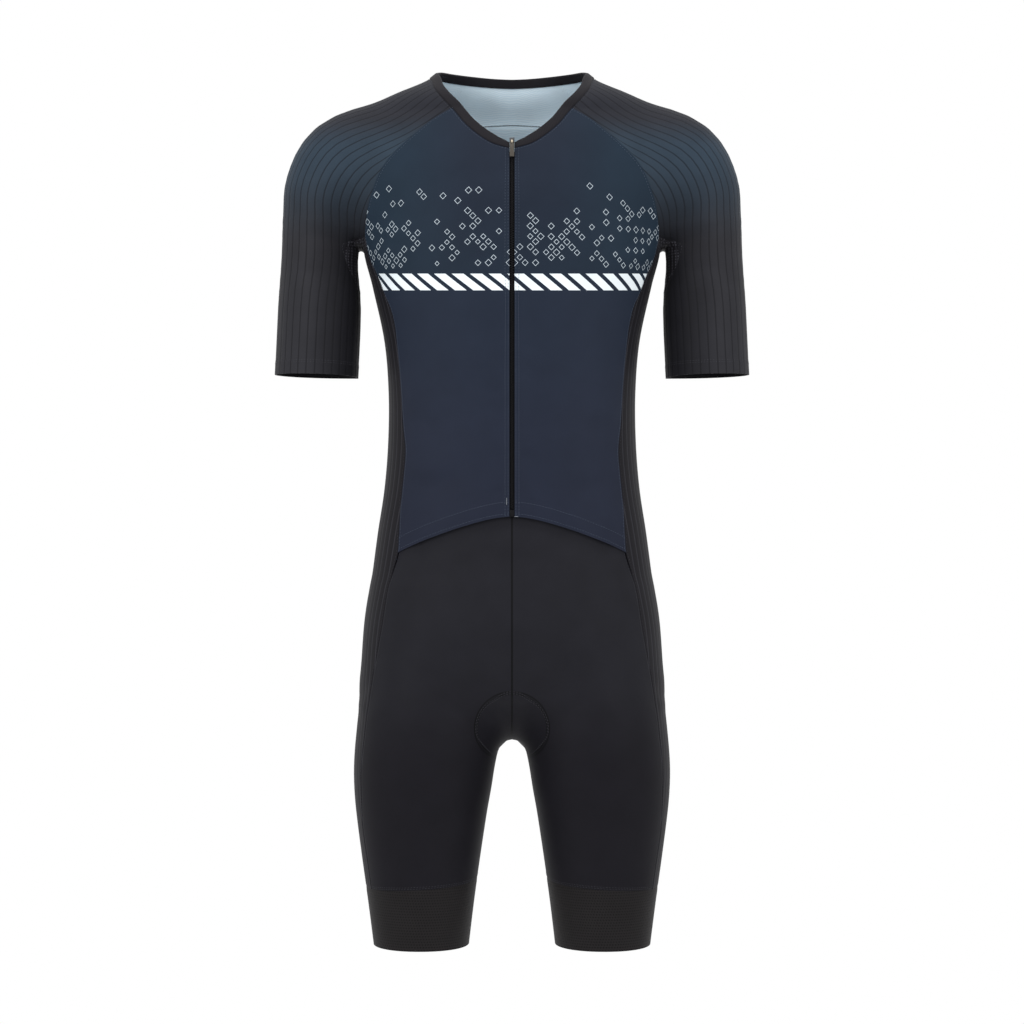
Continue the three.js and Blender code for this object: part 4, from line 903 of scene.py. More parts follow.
def wall(name, skin, outer, inner, materials, mirror=False, ring=False):
    """A closed wall of cloth between two offsets. outer and inner are in millimetres out of the form."""
    sign = np.array([-1.0 if mirror else 1.0, 1, 1])
    at, normal = skin["at"] * sign, skin["normal"] * sign
    rows, columns = at.shape[:2]
    out = at + normal * np.broadcast_to(outer, at.shape[:2])[..., None]
    back_face = at + normal * np.broadcast_to(inner, at.shape[:2])[..., None]
    shown = slice(0, columns - 1) if ring else slice(0, columns)
    count = columns - 1 if ring else columns
    number = np.arange(rows)[:, None] * count + np.arange(columns)[None] % count
    u = skin["across"] * sign[0]
    uv = np.stack([u, skin["bottom"]], axis=-1).reshape(-1, 2)
    cell = np.arange(rows * columns).reshape(rows, columns)

    def quads(index, behind=None):
        """Corner numbers of every cell, or of the rim between two lines."""
        if behind is None:
            here, there = index[:-1], index[1:]
            return np.stack([here[:, :-1], here[:, 1:], there[:, 1:], there[:, :-1]], -1).reshape(-1, 4)
        return np.stack([index[:-1], index[1:], behind[1:], behind[:-1]], -1).reshape(-1, 4)

    step_c = np.diff(at, axis=1)[:-1]
    step_r = np.diff(at, axis=0)[:, :-1]
    turned = (np.cross(step_c, step_r) * normal[:-1, :-1]).sum() < 0
    low = number + rows * count
    faces = [quads(number), quads(low)[:, ::-1]]
    corners = [quads(cell), quads(cell)[:, ::-1]]
    rims = [(0, slice(None), True), (-1, slice(None), False)]
    if not ring:
        rims += [(slice(None), 0, False), (slice(None), -1, True)]
    for r, c, flip in rims:
        way = slice(None, None, -1 if flip else 1)
        faces.append(quads(number[r, c], low[r, c])[:, way])
        corners.append(quads(cell[r, c], cell[r, c])[:, way])
    outside = len(faces[0])
    faces = np.vstack(faces)
    corners = np.vstack(corners)
    if turned:
        faces, corners = faces[:, ::-1], corners[:, ::-1]
    which = np.zeros(len(faces), int)
    which[outside:2 * outside] = len(materials) - 1
    vertices = np.vstack([out[:, shown].reshape(-1, 3), back_face[:, shown].reshape(-1, 3)])
    return mesh_piece(name, vertices, faces, uv[corners.ravel()], materials, which)


def cut_size(skin):
    """Width, length and area of a panel's cloth in metres."""
    at = skin["at"] * MM
    across, up = np.diff(at, axis=1), np.diff(at, axis=0)
    area = np.linalg.norm(np.cross(across[:-1], up[:, :-1]), axis=-1).sum()
    return float(skin["start"][:, -1].max()) * MM, float(skin["bottom"][-1].max()) * MM, float(area)


print("cut of one front, m:", [round(v, 3) for v in cut_size(front_skin)])

# %% [markdown]
# ## Cloths
# Lycra is matt. It gives back a little light at glancing angles, which the sheen and a low
# specular level stand for. At this scale one pixel is about a millimetre, so the knit itself
# is far too fine to see, and it is drawn several times too coarse, very faintly. Patterns are
# worked out from real millimetres: the UVs for what follows the cloth, and the object's own
# coordinates for what was printed level across both fronts.

# %% Colours and shader nodes
def colour(code):
    """Linear colour with alpha, from the sRGB code that a colour picker gives."""
    parts = [int(code[i:i + 2], 16) / 255 for i in (0, 2, 4)]
    return [v / 12.92 if v <= 0.04045 else ((v + 0.055) / 1.055) ** 2.4 for v in parts] + [1]


def add(tree, kind, *values, links=None, **settings):
    """Adds a shader node. settings are its own options. values in order, and links by name or
    number, set or feed its inputs. Each may be a value, another node's output, or a node, which
    stands for its first output. A second word in kind says how a Math or MapRange node works.
    """
    kind, _, way = kind.partition(" ")
    node = tree.nodes.new("ShaderNode" + kind)
    if way:
        setattr(node, "interpolation_type" if kind == "MapRange" else "operation", way)
    for name, value in settings.items():
        setattr(node, name, value)
    for name, value in (dict(enumerate(values)) | (links or {})).items():
        if isinstance(value, bpy.types.Node):
            value = value.outputs[0]
        if isinstance(value, bpy.types.NodeSocket):
            tree.links.new(value, node.inputs[name])
        else:
            node.inputs[name].default_value = value
    return node


print("navy as linear colour:", [round(v, 3) for v in colour("1d222f")])


def start_material(name, base, **finish):
    """A named material with a plain finish on its shader's own sockets."""
    material = bpy.data.materials.new(name)
    material.use_nodes = True
    tree = material.node_tree
    shader = tree.nodes["Principled BSDF"]
    shader.inputs["Base Color"].default_value = colour(base)
    for socket, value in finish.items():
        shader.inputs[socket.replace("_", " ")].default_value = value
    return material, tree, shader


LYCRA = {"Roughness": 0.6, "Specular_IOR_Level": 0.07, "Sheen_Weight": 0.02, "Sheen_Roughness": 0.45}


def cloth_places(tree):
    """The object's own x, y and z in metres, and u and v along the cloth in millimetres."""
    spot = add(tree, "SeparateXYZ", add(tree, "TexCoord").outputs["Object"])
    cloth = add(tree, "SeparateXYZ", add(tree, "UVMap", uv_map="cloth_mm"))
    return spot.outputs[0], spot.outputs[1], spot.outputs[2], cloth.outputs[0], cloth.outputs[1]


def blend_colours(tree, factor, low, high):
    """One colour over another. Each may be a colour code or another node's output."""
    low, high = (colour(c) if isinstance(c, str) else c for c in (low, high))
    return add(tree, "Mix", factor, links={6: low, 7: high}, data_type="RGBA").outputs[2]


def uneven(tree, shader, base, amount=0.1, size_mm=35):
    """Slightly lighter and darker patches, as cloth has where it is stretched more or less."""
    place = add(tree, "TexCoord").outputs["Object"]
    noise = add(tree, "TexNoise", links={"Vector": place, "Scale": 1000 / size_mm, "Detail": 3.0})
    light = add(tree, "MapRange", noise, 0.3, 0.7, 1 - amount, 1 + amount)
    toned = add(tree, "HueSaturation", links={"Value": light, "Color": base})
    tree.links.new(toned.outputs[0], shader.inputs["Base Color"])


def knit_bump(tree, shader, u, v, wale_mm=2.2, strength=0.12, depth_mm=0.06):
    """Rows of knit loops, drawn several times too coarse."""
    turn = add(tree, "Math MULTIPLY", u, 2 * math.pi / wale_mm)
    wale = add(tree, "Math SINE", turn)
    turn = add(tree, "Math MULTIPLY", v, 2.5 * math.pi / wale_mm)
    course = add(tree, "Math SINE", turn)
    loops = add(tree, "Math MULTIPLY", wale, course)
    bump = add(tree, "Bump", links={"Strength": strength, "Distance": depth_mm * MM, "Height": loops})
    tree.links.new(bump.outputs[0], shader.inputs["Normal"])


# %% [markdown]
# ### Printed lycra
# The fronts are white cloth, printed. Navy fades to a greener blue towards the shoulders, and a
# band of slanted white bars crosses the chest, level on both sides. Above it is a scatter of
# small open diamonds, denser towards the band. Every part of the print is worked out from
# millimetres, so it stays sharp however closely it is seen.

# %% Printed lycra for the fronts, back and yoke
PHOTO = {"distance": 2.8, "height": -0.475, "pixel_mm": 1.087, "width": 1024}
BAND = {"top": 259.1, "bottom": 241.0, "pitch": 19.6, "white": 0.648, "shift": 3.0, "slope": 1.22}
FADES = {"height_mm": (-520.0, -60.0), "outward": (0.03, 0.13), "chest_mm": (-250.0, -200.0)}
MOTIF = {"cell": 11.0, "top": -118.0, "bottom": -222.0, "margin": 4.0, "small": 0.14, "large": 0.36,
         "line": 0.035, "sparse": 0.4, "strength": 0.75}


def printed_lycra():
    material, tree, shader = start_material("printed_lycra", "2b313d", **LYCRA)
    x, y, z, u, v = cloth_places(tree)
    z_mm = add(tree, "Math MULTIPLY", z, 1000.0)
    from_middle = add(tree, "Math ABSOLUTE", x)

    height = add(tree, "MapRange", z_mm, *FADES["height_mm"])
    ramp = add(tree, "ValToRGB", height)
    ramp.color_ramp.elements[0].color = colour("1a1e2b")
    ramp.color_ramp.elements[1].color = colour("1b212d")
    for place, code in ((0.3, "1d222f"), (0.6, "1d2431"), (0.64, "1b2430"), (0.8, "19202c")):
        ramp.color_ramp.elements.new(place).color = colour(code)
    outward = add(tree, "MapRange SMOOTHSTEP", from_middle, *FADES["outward"])
    chest = add(tree, "MapRange SMOOTHSTEP", z_mm, *FADES["chest_mm"])
    teal = add(tree, "Math MULTIPLY", outward, chest)
    navy = blend_colours(tree, teal, ramp, "1a2632")

    # The band looks level from in front of the chest, so its height is taken from there.
    forward = add(tree, "Math MINIMUM", y, 0.0)
    nearer = add(tree, "Math MULTIPLY_ADD", forward, 1 / PHOTO["distance"], 1.0)
    above = add(tree, "Math ADD", z_mm, -PHOTO["height"] * 1000)
    seen = add(tree, "Math DIVIDE", above, nearer)
    slant = add(tree, "Math MULTIPLY_ADD", seen, BAND["slope"], u)
    phase = add(tree, "Math MULTIPLY_ADD", slant, 1 / BAND["pitch"], BAND["shift"])
    bar = add(tree, "Math LESS_THAN", add(tree, "Math FRACT", phase), BAND["white"])
    middle = (BAND["top"] + BAND["bottom"]) / 2
    half = (BAND["top"] - BAND["bottom"]) / 2
    level = add(tree, "Math COMPARE", seen, middle, half)
    bars = add(tree, "Math MULTIPLY", bar, level)

    # Diamonds are squares on axes turned by 45 degrees. Each cell has its own random number.
    turned = [add(tree, "Math " + way, u, z_mm) for way in ("ADD", "SUBTRACT")]
    cells = [add(tree, "Math MULTIPLY", a, 1 / MOTIF["cell"]) for a in turned]
    whole = [add(tree, "Math FLOOR", c) for c in cells]
    off = [add(tree, "Math SUBTRACT", add(tree, "Math SUBTRACT", c, w), 0.5) for c, w in zip(cells, whole)]
    far = [add(tree, "Math ABSOLUTE", o) for o in off]
    reach = add(tree, "Math MAXIMUM", far[0], far[1])
    pair = add(tree, "CombineXYZ", whole[0], whole[1])
    chance = add(tree, "TexWhiteNoise", links={"Vector": pair}, noise_dimensions="2D")
    second = add(tree, "SeparateXYZ", chance.outputs[1])
    size = add(tree, "MapRange", second, 0.0, 1.0, MOTIF["small"], MOTIF["large"])
    line = add(tree, "Math SUBTRACT", size, MOTIF["line"])
    ring = add(tree, "Math COMPARE", reach, line, MOTIF["line"])
    across_cells = add(tree, "Math SUBTRACT", whole[0], whole[1])
    level_of_cell = add(tree, "Math MULTIPLY", across_cells, MOTIF["cell"] / 2)
    crowd = add(tree, "MapRange", level_of_cell, MOTIF["bottom"], MOTIF["top"], MOTIF["sparse"], 1.0)
    kept = add(tree, "Math GREATER_THAN", chance, crowd)
    span = (MOTIF["bottom"] + MOTIF["top"]) / 2
    half = (MOTIF["top"] - MOTIF["bottom"]) / 2 - MOTIF["margin"]
    room = add(tree, "Math COMPARE", level_of_cell, span, half)
    inside = add(tree, "Math MULTIPLY", ring, kept)
    motif = add(tree, "Math MULTIPLY", inside, room)
    faint = add(tree, "Math MULTIPLY", motif, MOTIF["strength"])
    front = add(tree, "Math LESS_THAN", y, 0.0)
    faint = add(tree, "Math MULTIPLY", faint, front)
    decorated = blend_colours(tree, faint, navy, "b9c4cc")
    printed = blend_colours(tree, bars, decorated, "d3dbe0")
    uneven(tree, shader, printed, 0.06)
    knit_bump(tree, shader, u, v)
    return material


# %% [markdown]
# ### Ribbed lycra
# Sleeves and sides are a warp knit with narrow, deeper lines between flat bands. On a sleeve
# the line is darker, since less light reaches it. On the black sides it is paler, for the
# ground yarn shows there. On the shoulder the same blue is printed over the ribs, lightened by a
# painted highlight, and it darkens towards the neck. The inner side of the arm is darkened by
# painted shade. High on the sides fine holes let the skin breathe.

# %% Ribbed lycra for the sleeves and sides
# Where painted shade darkens the inner side of the arm, where the printed blue with its painted highlight
# rises over the shoulder, and where the colour darkens towards the neck.
ARM_PRINT_AND_SHADE = {"inner_x": (0.225, 0.185), "rise_mm": (-190.0, -95.0), "crown_mm": (-88.0, -48.0)}
SIDE_HOLES = {"scale": 330.0, "beyond_x": (0.156, 0.159), "above_mm": (-260.0, -250.0)}


def ribbed_lycra(name, base, line, strength, upper=None, mesh_dots=False):
    material, tree, shader = start_material(name, base, **LYCRA)
    x, y, z, u, v = cloth_places(tree)
    z_mm = add(tree, "Math MULTIPLY", z, 1000.0)
    phase = add(tree, "Math FLOORED_MODULO", add(tree, "Math MULTIPLY", u, 1 / RIB["pitch"]), 1.0)
    away = add(tree, "Math ABSOLUTE", add(tree, "Math SUBTRACT", phase, 0.5))
    groove = add(tree, "MapRange SMOOTHSTEP", away, 0.11, 0.05, 0.0, strength)
    ground = colour(base)
    out = add(tree, "Math ABSOLUTE", x)
    if upper:
        # Painted shade on the inner side of the arm, then the printed blue with a painted highlight over the
        # shoulder, then darker towards the neck.
        steps = (out, "inner_x", "17171b"), (z_mm, "rise_mm", upper), (z_mm, "crown_mm", "202127")
        for place, key, shade in steps:
            share = add(tree, "MapRange SMOOTHSTEP", place, *ARM_PRINT_AND_SHADE[key])
            ground = blend_colours(tree, share, ground, shade)
    lined = blend_colours(tree, groove, ground, line)
    if mesh_dots:
        place = add(tree, "TexCoord").outputs["Object"]
        dot = add(tree, "TexVoronoi",
                  links={"Vector": place, "Scale": SIDE_HOLES["scale"], "Randomness": 0.1})
        where = add(tree, "MapRange", dot, 0.42, 0.3)
        for place, key in ((out, "beyond_x"), (z_mm, "above_mm")):
            share = add(tree, "MapRange", place, *SIDE_HOLES[key])
            where = add(tree, "Math MULTIPLY", where, share)
        lined = blend_colours(tree, where, lined, "3a3a40")
    uneven(tree, shader, lined, 0.08)
    knit_bump(tree, shader, u, v, wale_mm=1.9)
    return material


# %% [markdown]
# ### Plain cloths
# The shorts are a dense, matt lycra. The gripper is elastic power mesh with fine holes. The
# collar binding is a rib knit. The reverse of printed cloth is nearly white, greyed by the
# print behind it, with fine wavy lines across.

# %% Shorts, gripper, lined cloths and hard parts
PAD_RING = {"middle": -704.0, "radius": 39.5, "inset": 2.4, "half": 0.55}
SHADE = {"leg_z": (-0.62, -0.76), "arm_z": (-0.09, -0.13)}


def plain_lycra(name, base, wale_mm=2.0, seam=None, low=None):
    """Dense cloth, darkened lower down the legs by painted shade where low is given. Where it has a middle
    seam, that seam shows darker, and the sewn ring of the pad shows as painted shadow.
    """
    material, tree, shader = start_material(name, base, **LYCRA)
    x, y, z, u, v = cloth_places(tree)
    ground = colour(base)
    # Painted shade: the cloth darkens lower down the legs.
    if low:
        down = add(tree, "MapRange SMOOTHSTEP", z, *SHADE["leg_z"])
        ground = blend_colours(tree, down, base, low)
    if seam:
        middle = add(tree, "MapRange", add(tree, "Math ABSOLUTE", u), 1.5, 0.5)
        place = add(tree, "CombineXYZ", x, add(tree, "Math ADD", z, -PAD_RING["middle"] * MM))
        radius = add(tree, "VectorMath LENGTH", place).outputs["Value"]
        front = add(tree, "Math LESS_THAN", y, 0.0)
        dark = middle
        half = PAD_RING["half"] * MM
        # Painted shadow: two dark rings along the stitched outline of the pad, on the front.
        for inset in (0, PAD_RING["inset"]):
            off = add(tree, "Math SUBTRACT", radius, (PAD_RING["radius"] - inset) * MM)
            line = add(tree, "MapRange", add(tree, "Math ABSOLUTE", off), 2 * half, half / 2)
            line = add(tree, "Math MULTIPLY", line, front)
            dark = add(tree, "Math MAXIMUM", dark, line)
        ground = blend_colours(tree, dark, ground, seam)
    uneven(tree, shader, ground, 0.08)
    knit_bump(tree, shader, u, v, wale_mm)
    return material


def power_mesh(pitch_mm=3.0):
    """Elastic mesh. Its holes are drawn three times too coarse, so that they can be seen."""
    material, tree, shader = start_material("elastic_power_mesh", "181617", **LYCRA)
    x, y, z, u, v = cloth_places(tree)
    row = add(tree, "Math MULTIPLY", v, 1 / pitch_mm)
    odd = add(tree, "Math MULTIPLY", add(tree, "Math FLOOR", row), 0.5)
    column = add(tree, "Math MULTIPLY_ADD", u, 1 / pitch_mm, odd)
    off = [add(tree, "Math SUBTRACT", add(tree, "Math FRACT", c), 0.5) for c in (row, column)]
    reach = add(tree, "Math ADD", *(add(tree, "Math POWER", o, 2.0) for o in off))
    hole = add(tree, "MapRange SMOOTHSTEP", reach, 0.1, 0.04)
    holed = blend_colours(tree, hole, "1b191a", "0a0a0a")
    uneven(tree, shader, holed, 0.08)
    bump = add(tree, "Bump", links={"Strength": 0.4, "Distance": 0.2 * MM, "Height": hole}, invert=True)
    tree.links.new(bump.outputs[0], shader.inputs["Normal"])
    return material


def lined_cloth(name, base, line, pitch_mm, across=True, amount=0.5, wave=0.0, painted_arm_shade=False, **finish):
    """Cloth with fine even lines across it or along it. Down the arm it may be darkened by painted shade."""
    material, tree, shader = start_material(name, base, **(LYCRA | finish))
    x, y, z, u, v = cloth_places(tree)
    run = v if across else u
    if wave:
        place = add(tree, "TexCoord").outputs["Object"]
        bend = add(tree, "TexNoise", links={"Vector": place, "Scale": 60.0})
        run = add(tree, "Math MULTIPLY_ADD", bend, wave, run)
    turn = add(tree, "Math MULTIPLY", run, 2 * math.pi / pitch_mm)
    swing = add(tree, "Math SINE", turn)
    strength = add(tree, "MapRange", swing, -1.0, 1.0, 0.0, amount)
    lined = blend_colours(tree, strength, base, line)
    if painted_arm_shade:
        # Painted shade inside the arm, below the shoulder.
        arm = add(tree, "MapRange SMOOTHSTEP", z, *SHADE["arm_z"])
        lined = blend_colours(tree, arm, lined, "141417")
    uneven(tree, shader, lined, 0.05)
    bump = add(tree, "Bump", links={"Strength": 0.3, "Distance": 0.12 * MM, "Height": swing})
    tree.links.new(bump.outputs[0], shader.inputs["Normal"])
    return material


def hard_material(name, base, speck, **finish):
    """Moulded, cast or spun stuff: an even finish with the slight mottling of use."""
    material, tree, shader = start_material(name, base, **finish)
    place = add(tree, "TexCoord").outputs["Object"]
    noise = add(tree, "TexNoise", links={"Vector": place, "Scale": 900.0, "Detail": 4.0})
    tree.links.new(blend_colours(tree, noise.outputs[0], base, speck), shader.inputs["Base Color"])
    return material


print("pad ring on the shorts, mm across:", 2 * PAD_RING["radius"])

# %% One material for each cloth, hard part and thread
front_cloth = printed_lycra()
# The sleeve's darker rib line and inner arm are painted shade, and its upper blue is print with a painted
# highlight.
sleeve_cloth = ribbed_lycra("ribbed_sleeve_lycra", "26262a", "0d0d10", 0.55, upper="28333e")
side_cloth = ribbed_lycra("ribbed_side_lycra", "151418", "34343a", 0.5, mesh_dots=True)
# The seam colour also paints the shadow round the pad, and low is painted shade down the legs.
shorts_cloth = plain_lycra("dense_shorts_lycra", "19191e", seam="08080a", low="121116")
dark_reverse = plain_lycra("dark_lycra_reverse", "141417")
gripper_cloth = power_mesh()
binding_cloth = lined_cloth("rib_knit_binding", "161518", "232126", 2.2, across=False)
REVERSE = {"base": "cbdfeb", "line": "dceaf2", "pitch_mm": 2.6, "amount": 0.8, "wave": 9.0}
pale_reverse = lined_cloth("reverse_of_printed_lycra", **REVERSE)
sleeve_reverse = lined_cloth("reverse_of_sleeve_lycra", **REVERSE, painted_arm_shade=True)
tape_cloth = lined_cloth("woven_zip_tape", "111216", "1b1c20", 1.8, Roughness=0.75)
pad_cloth = lined_cloth("brushed_pad_cloth", "2a2c34", "34363f", 4.0, Sheen_Weight=0.2)
DULL, GLOSSY = {"Roughness": 0.5, "Specular_IOR_Level": 0.1}, {"Roughness": 0.36, "Specular_IOR_Level": 0.4}
teeth_plastic = hard_material("moulded_zip_teeth", "060608", "0c0c0f", **DULL)
slider_enamel = hard_material("enamelled_zinc", "1c1b1d", "26252a", **GLOSSY)
bare_zinc = hard_material("worn_zinc", "a89c88", "c4b9a4", Roughness=0.32, Metallic=0.8)
tab_enamel = hard_material("grey_enamelled_zinc", "38342f", "47423b", Roughness=0.4, Metallic=0.5)
THREAD = {"Roughness": 0.7, "Specular_IOR_Level": 0.2}
front_thread = hard_material("navy_polyester_thread", "39414f", "4a5362", **THREAD)
dark_thread = hard_material("black_polyester_thread", "2c2c31", "3a3a40", **THREAD)
seam_thread = hard_material("dark_grey_polyester_thread", "3f464c", "50575d", **THREAD)
tack_thread = hard_material("grey_polyester_thread", "8a8f96", "a5aab0", **THREAD)
print("materials:", len(bpy.data.materials))

# %% [markdown]
# ## The panels
# Now each cloth solid of the imported model is replaced by its fine shell. Printed cloth shows its
# pale reverse inside, the dark cloths a dark one.

# %% Sew up the panels
THICK = 0.9
ALL_EDGES = ("start", "end", "bottom", "top")
HIP_STEP = {"dip_z": -683, "dip_half": 7, "bulge_z": -667, "bulge_half": 8, "ease": 18}
DOUBLED = {"front_hem": 17, "zip_welt": 5.3, "cuff": 14, "cuff_height": 0.25}
GRIPPER_OFFSETS = {"outer": 0.15, "inner": -1.1}
shown = {}


def cloth_piece(node, skin, outer, inner, materials, mirror=False, ring=False):
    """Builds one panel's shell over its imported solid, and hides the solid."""
    piece = wall(node + "_cloth", skin, outer, inner, materials, mirror, ring)
    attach(piece, "suit")
    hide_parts(node)
    shown[node] = piece
    return piece


def pair(name, skin, outer, inner, materials, slot, ring=False):
    for side_name, mirror in (("_left", False), ("_right", True)):
        flat = skin["at"] * (-1 if mirror else 1, 1, 1)
        waves = creases(flat)
        cloth_piece(name + side_name, skin, outer + waves, inner + waves, materials, mirror, ring)


front_base = flap_lift(front_skin["at"])
front_relief = valleys(front_skin, ("end", "top")) + np.maximum(
    doubled(front_skin, "bottom", DOUBLED["front_hem"]), doubled(front_skin, "start", DOUBLED["zip_welt"])
)
printed = front_cloth, pale_reverse
backs = ("back_panel", back_skin), ("back_yoke", yoke_skin)
pair("front", front_skin, front_base + front_relief, front_base - THICK, printed, "front_lycra")
for name, skin in backs:
    waves = creases(skin["at"])
    cloth_piece(name, skin, valleys(skin, ALL_EDGES) + waves, waves - THICK, printed)

# The form has a step of a millimetre where the leg joins the trunk. Taut cloth bridges it.
side_z = side_skin["at"][..., 2]
free = math.prod(smoothstep(0, HIP_STEP["ease"], side_skin[edge]) for edge in ("start", "end"))
dip = np.exp(-((side_z - HIP_STEP["dip_z"]) / HIP_STEP["dip_half"]) ** 2)
bulge = np.exp(-((side_z - HIP_STEP["bulge_z"]) / HIP_STEP["bulge_half"]) ** 2)
bridged = free * (dip - bulge)
side_relief = valleys(side_skin, ALL_EDGES) + ribs(side_skin, ALL_EDGES, 0.8)
pair("side", side_skin, side_relief + bridged, bridged - THICK, (side_cloth, dark_reverse), "side_lycra")
sleeve_edges = ("start", "end", "top")
sleeve_relief = valleys(sleeve_skin, sleeve_edges) + ribs(sleeve_skin, sleeve_edges)
sleeve_relief = sleeve_relief + doubled(sleeve_skin, "bottom", DOUBLED["cuff"], DOUBLED["cuff_height"])
pair("sleeve", sleeve_skin, sleeve_relief, -THICK, (sleeve_cloth, sleeve_reverse), "sleeve_lycra")

recess = shorts_recess(shorts_front_skin["at"])
shorts_relief = recess + valleys(shorts_front_skin, ("start", "end", "bottom"))
dense = shorts_cloth, dark_reverse
pair("shorts_front", shorts_front_skin, shorts_relief, recess - THICK, dense, "shorts_lycra")
pair("shorts_back", shorts_back_skin, valleys(shorts_back_skin, ALL_EDGES), -THICK, dense, "shorts_lycra")
gripper_relief = valleys(gripper_skin, ("top",)) + GRIPPER_OFFSETS["outer"]
pair("gripper", gripper_skin, gripper_relief, GRIPPER_OFFSETS["inner"], (gripper_cloth, dark_reverse),
     "gripper_mesh", ring=True)

rise = BINDING_RISE[:, None]
past = np.maximum(rise - (BINDING["width"] - BINDING["round"]), 0) / BINDING["round"]
rounding = np.sqrt(np.clip(1 - past ** 2, 0, 1))
centre = (BINDING["proud"] - BINDING["depth"]) / 2
swell = smoothstep(-0.4, 1.0, rise) * (BINDING["proud"] + 0.2 * np.sin(math.pi * rise / BINDING["width"]))
binding_outer = centre + (swell - centre) * rounding
binding_inner = centre + (-BINDING["depth"] - centre) * rounding
cloth_piece("neck_binding", binding_skin, binding_outer, binding_inner, (binding_cloth,))
print("cloth pieces:", len(shown))

# %% [markdown]
# ## The zip
# A thin tape is sewn behind each front, with a chain of moulded teeth down the middle. A tooth
# is modelled once from two cubes and copied along the cloth. The slider, its lug and the pull tab
# are cast pieces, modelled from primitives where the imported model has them, since the tab turns.

# %% Sew the tapes behind the fronts
ZIP_TAPE = {"columns": (0.2, 4.5, 9, 13.6), "rows": 130, "depth": 2.3, "thickness": 0.6, "top": -95,
            "bottom": -479}
ZIP_CHAIN = {"depth": 0.6, "thickness": 1.4, "top": -94, "bottom": -472, "pitch": 2.5}


# The tapes' edges nearly meet behind the teeth, so no light comes through the chain.
tape_z = np.linspace(ZIP_TAPE["bottom"], ZIP_TAPE["top"], ZIP_TAPE["rows"])[:, None]
tape_skin = measured(zip_edge(np.array([ZIP_TAPE["columns"]]), tape_z))
tape_base = flap_lift(tape_skin["at"]) - ZIP_TAPE["depth"]
pair("zip_tape", tape_skin, tape_base, tape_base - ZIP_TAPE["thickness"], (tape_cloth,), "zip_tape")


print("zip tape, mm long:", round(float(tape_skin["bottom"][-1].max())))


# %% Model one tooth and copy it along the cloth
@contextmanager
def editing():
    """Edit mode for the lines under it."""
    bpy.ops.object.mode_set(mode="EDIT")
    yield
    bpy.ops.object.mode_set(mode="OBJECT")


def pick(*parts):
    """Selects these objects alone. The first one is the active one."""
    bpy.ops.object.select_all(action="DESELECT")
    for part in reversed(parts):
        part.select_set(True)
        bpy.context.view_layer.objects.active = part


def start_part(name, size, at=(0, 0, 0)):
    """A cube made into a named part. size and place are in millimetres."""
    pick()
    bpy.ops.mesh.primitive_cube_add(size=1)
    part = bpy.context.object
    part.name = part.data.name = name
    with editing():
        bpy.ops.transform.resize(value=[v * MM for v in size])
        bpy.ops.transform.translate(value=[v * MM for v in at])
    return part


def round_edges(part, width, segments=2):
    with editing():
        bpy.ops.mesh.select_all(action="SELECT")
        bpy.ops.mesh.bevel(offset=width * MM, segments=segments, profile=0.5)


def narrow_end(part, low_side, factor):
    """Makes one end of a part narrower, seen from the front."""
    for vertex in part.data.vertices:
        vertex.select = (vertex.co.z < 0) == low_side
    for face in part.data.polygons:
        face.select = False
    with editing():
        bpy.context.tool_settings.mesh_select_mode = (True, False, False)
        bpy.ops.transform.resize(value=(factor, 1, 1))


def join_parts(name, parts):
    pick(*parts)
    bpy.ops.object.join()
    whole = bpy.context.object
    whole.name = whole.data.name = name
    return whole


def finish_part(part, body, material=None, angle=35):
    for face in part.data.polygons:
        face.use_smooth = True
    part.data.set_sharp_from_angle(angle=math.radians(angle))
    if material:
        part.data.materials.clear()
        part.data.materials.append(material)
    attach(part, body)
    return part


def tooth_mesh():
    """One tooth: a foot on the tape side and a round head that reaches over the middle."""
    foot = start_part("tooth_foot", (1.5, 1.3, 1.0), (1.45, 0, 0))
    round_edges(foot, 0.18, 1)
    head = start_part("tooth_head", (1.5, 1.1, 1.3), (0.2, 0, 0))
    round_edges(head, 0.35, 2)
    return join_parts("tooth", [foot, head])


tooth = tooth_mesh()
tooth_points = np.array([v.co[:] for v in tooth.data.vertices])
tooth_faces = [list(face.vertices) for face in tooth.data.polygons]
bpy.data.objects.remove(tooth)
tooth_z = np.arange(ZIP_CHAIN["bottom"] + 1, ZIP_CHAIN["top"] - 1, ZIP_CHAIN["pitch"] / 2)
tooth_seat = zip_edge(np.zeros(len(tooth_z)), tooth_z)
tooth_out = normals_at(tooth_seat)
tooth_lift = flap_lift(tooth_seat) + creases(tooth_seat) - ZIP_CHAIN["depth"] - ZIP_CHAIN["thickness"] / 2
tooth_seat = tooth_seat + tooth_out * tooth_lift[:, None]
chain_points, chain_faces = [], []
for i, (seat, out) in enumerate(zip(tooth_seat * MM, tooth_out)):
    side_way = np.array([-1.0 if i % 2 else 1.0, 0, 0])
    up = np.cross(out, [1.0, 0, 0])
    up *= np.sign(up[2])
    base = len(chain_points) * len(tooth_points)
    chain_points.append(seat + tooth_points @ np.stack([side_way, -out, up]))
    chain_faces += [[base + k for k in (face[::-1] if i % 2 else face)] for face in tooth_faces]
chain = mesh_piece("zip_teeth", np.vstack(chain_points) / MM, chain_faces)
finish_part(chain, "suit", teeth_plastic)
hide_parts("zip_chain")
print("teeth:", len(tooth_z), "triangles:", sum(len(f) - 2 for f in chain_faces))

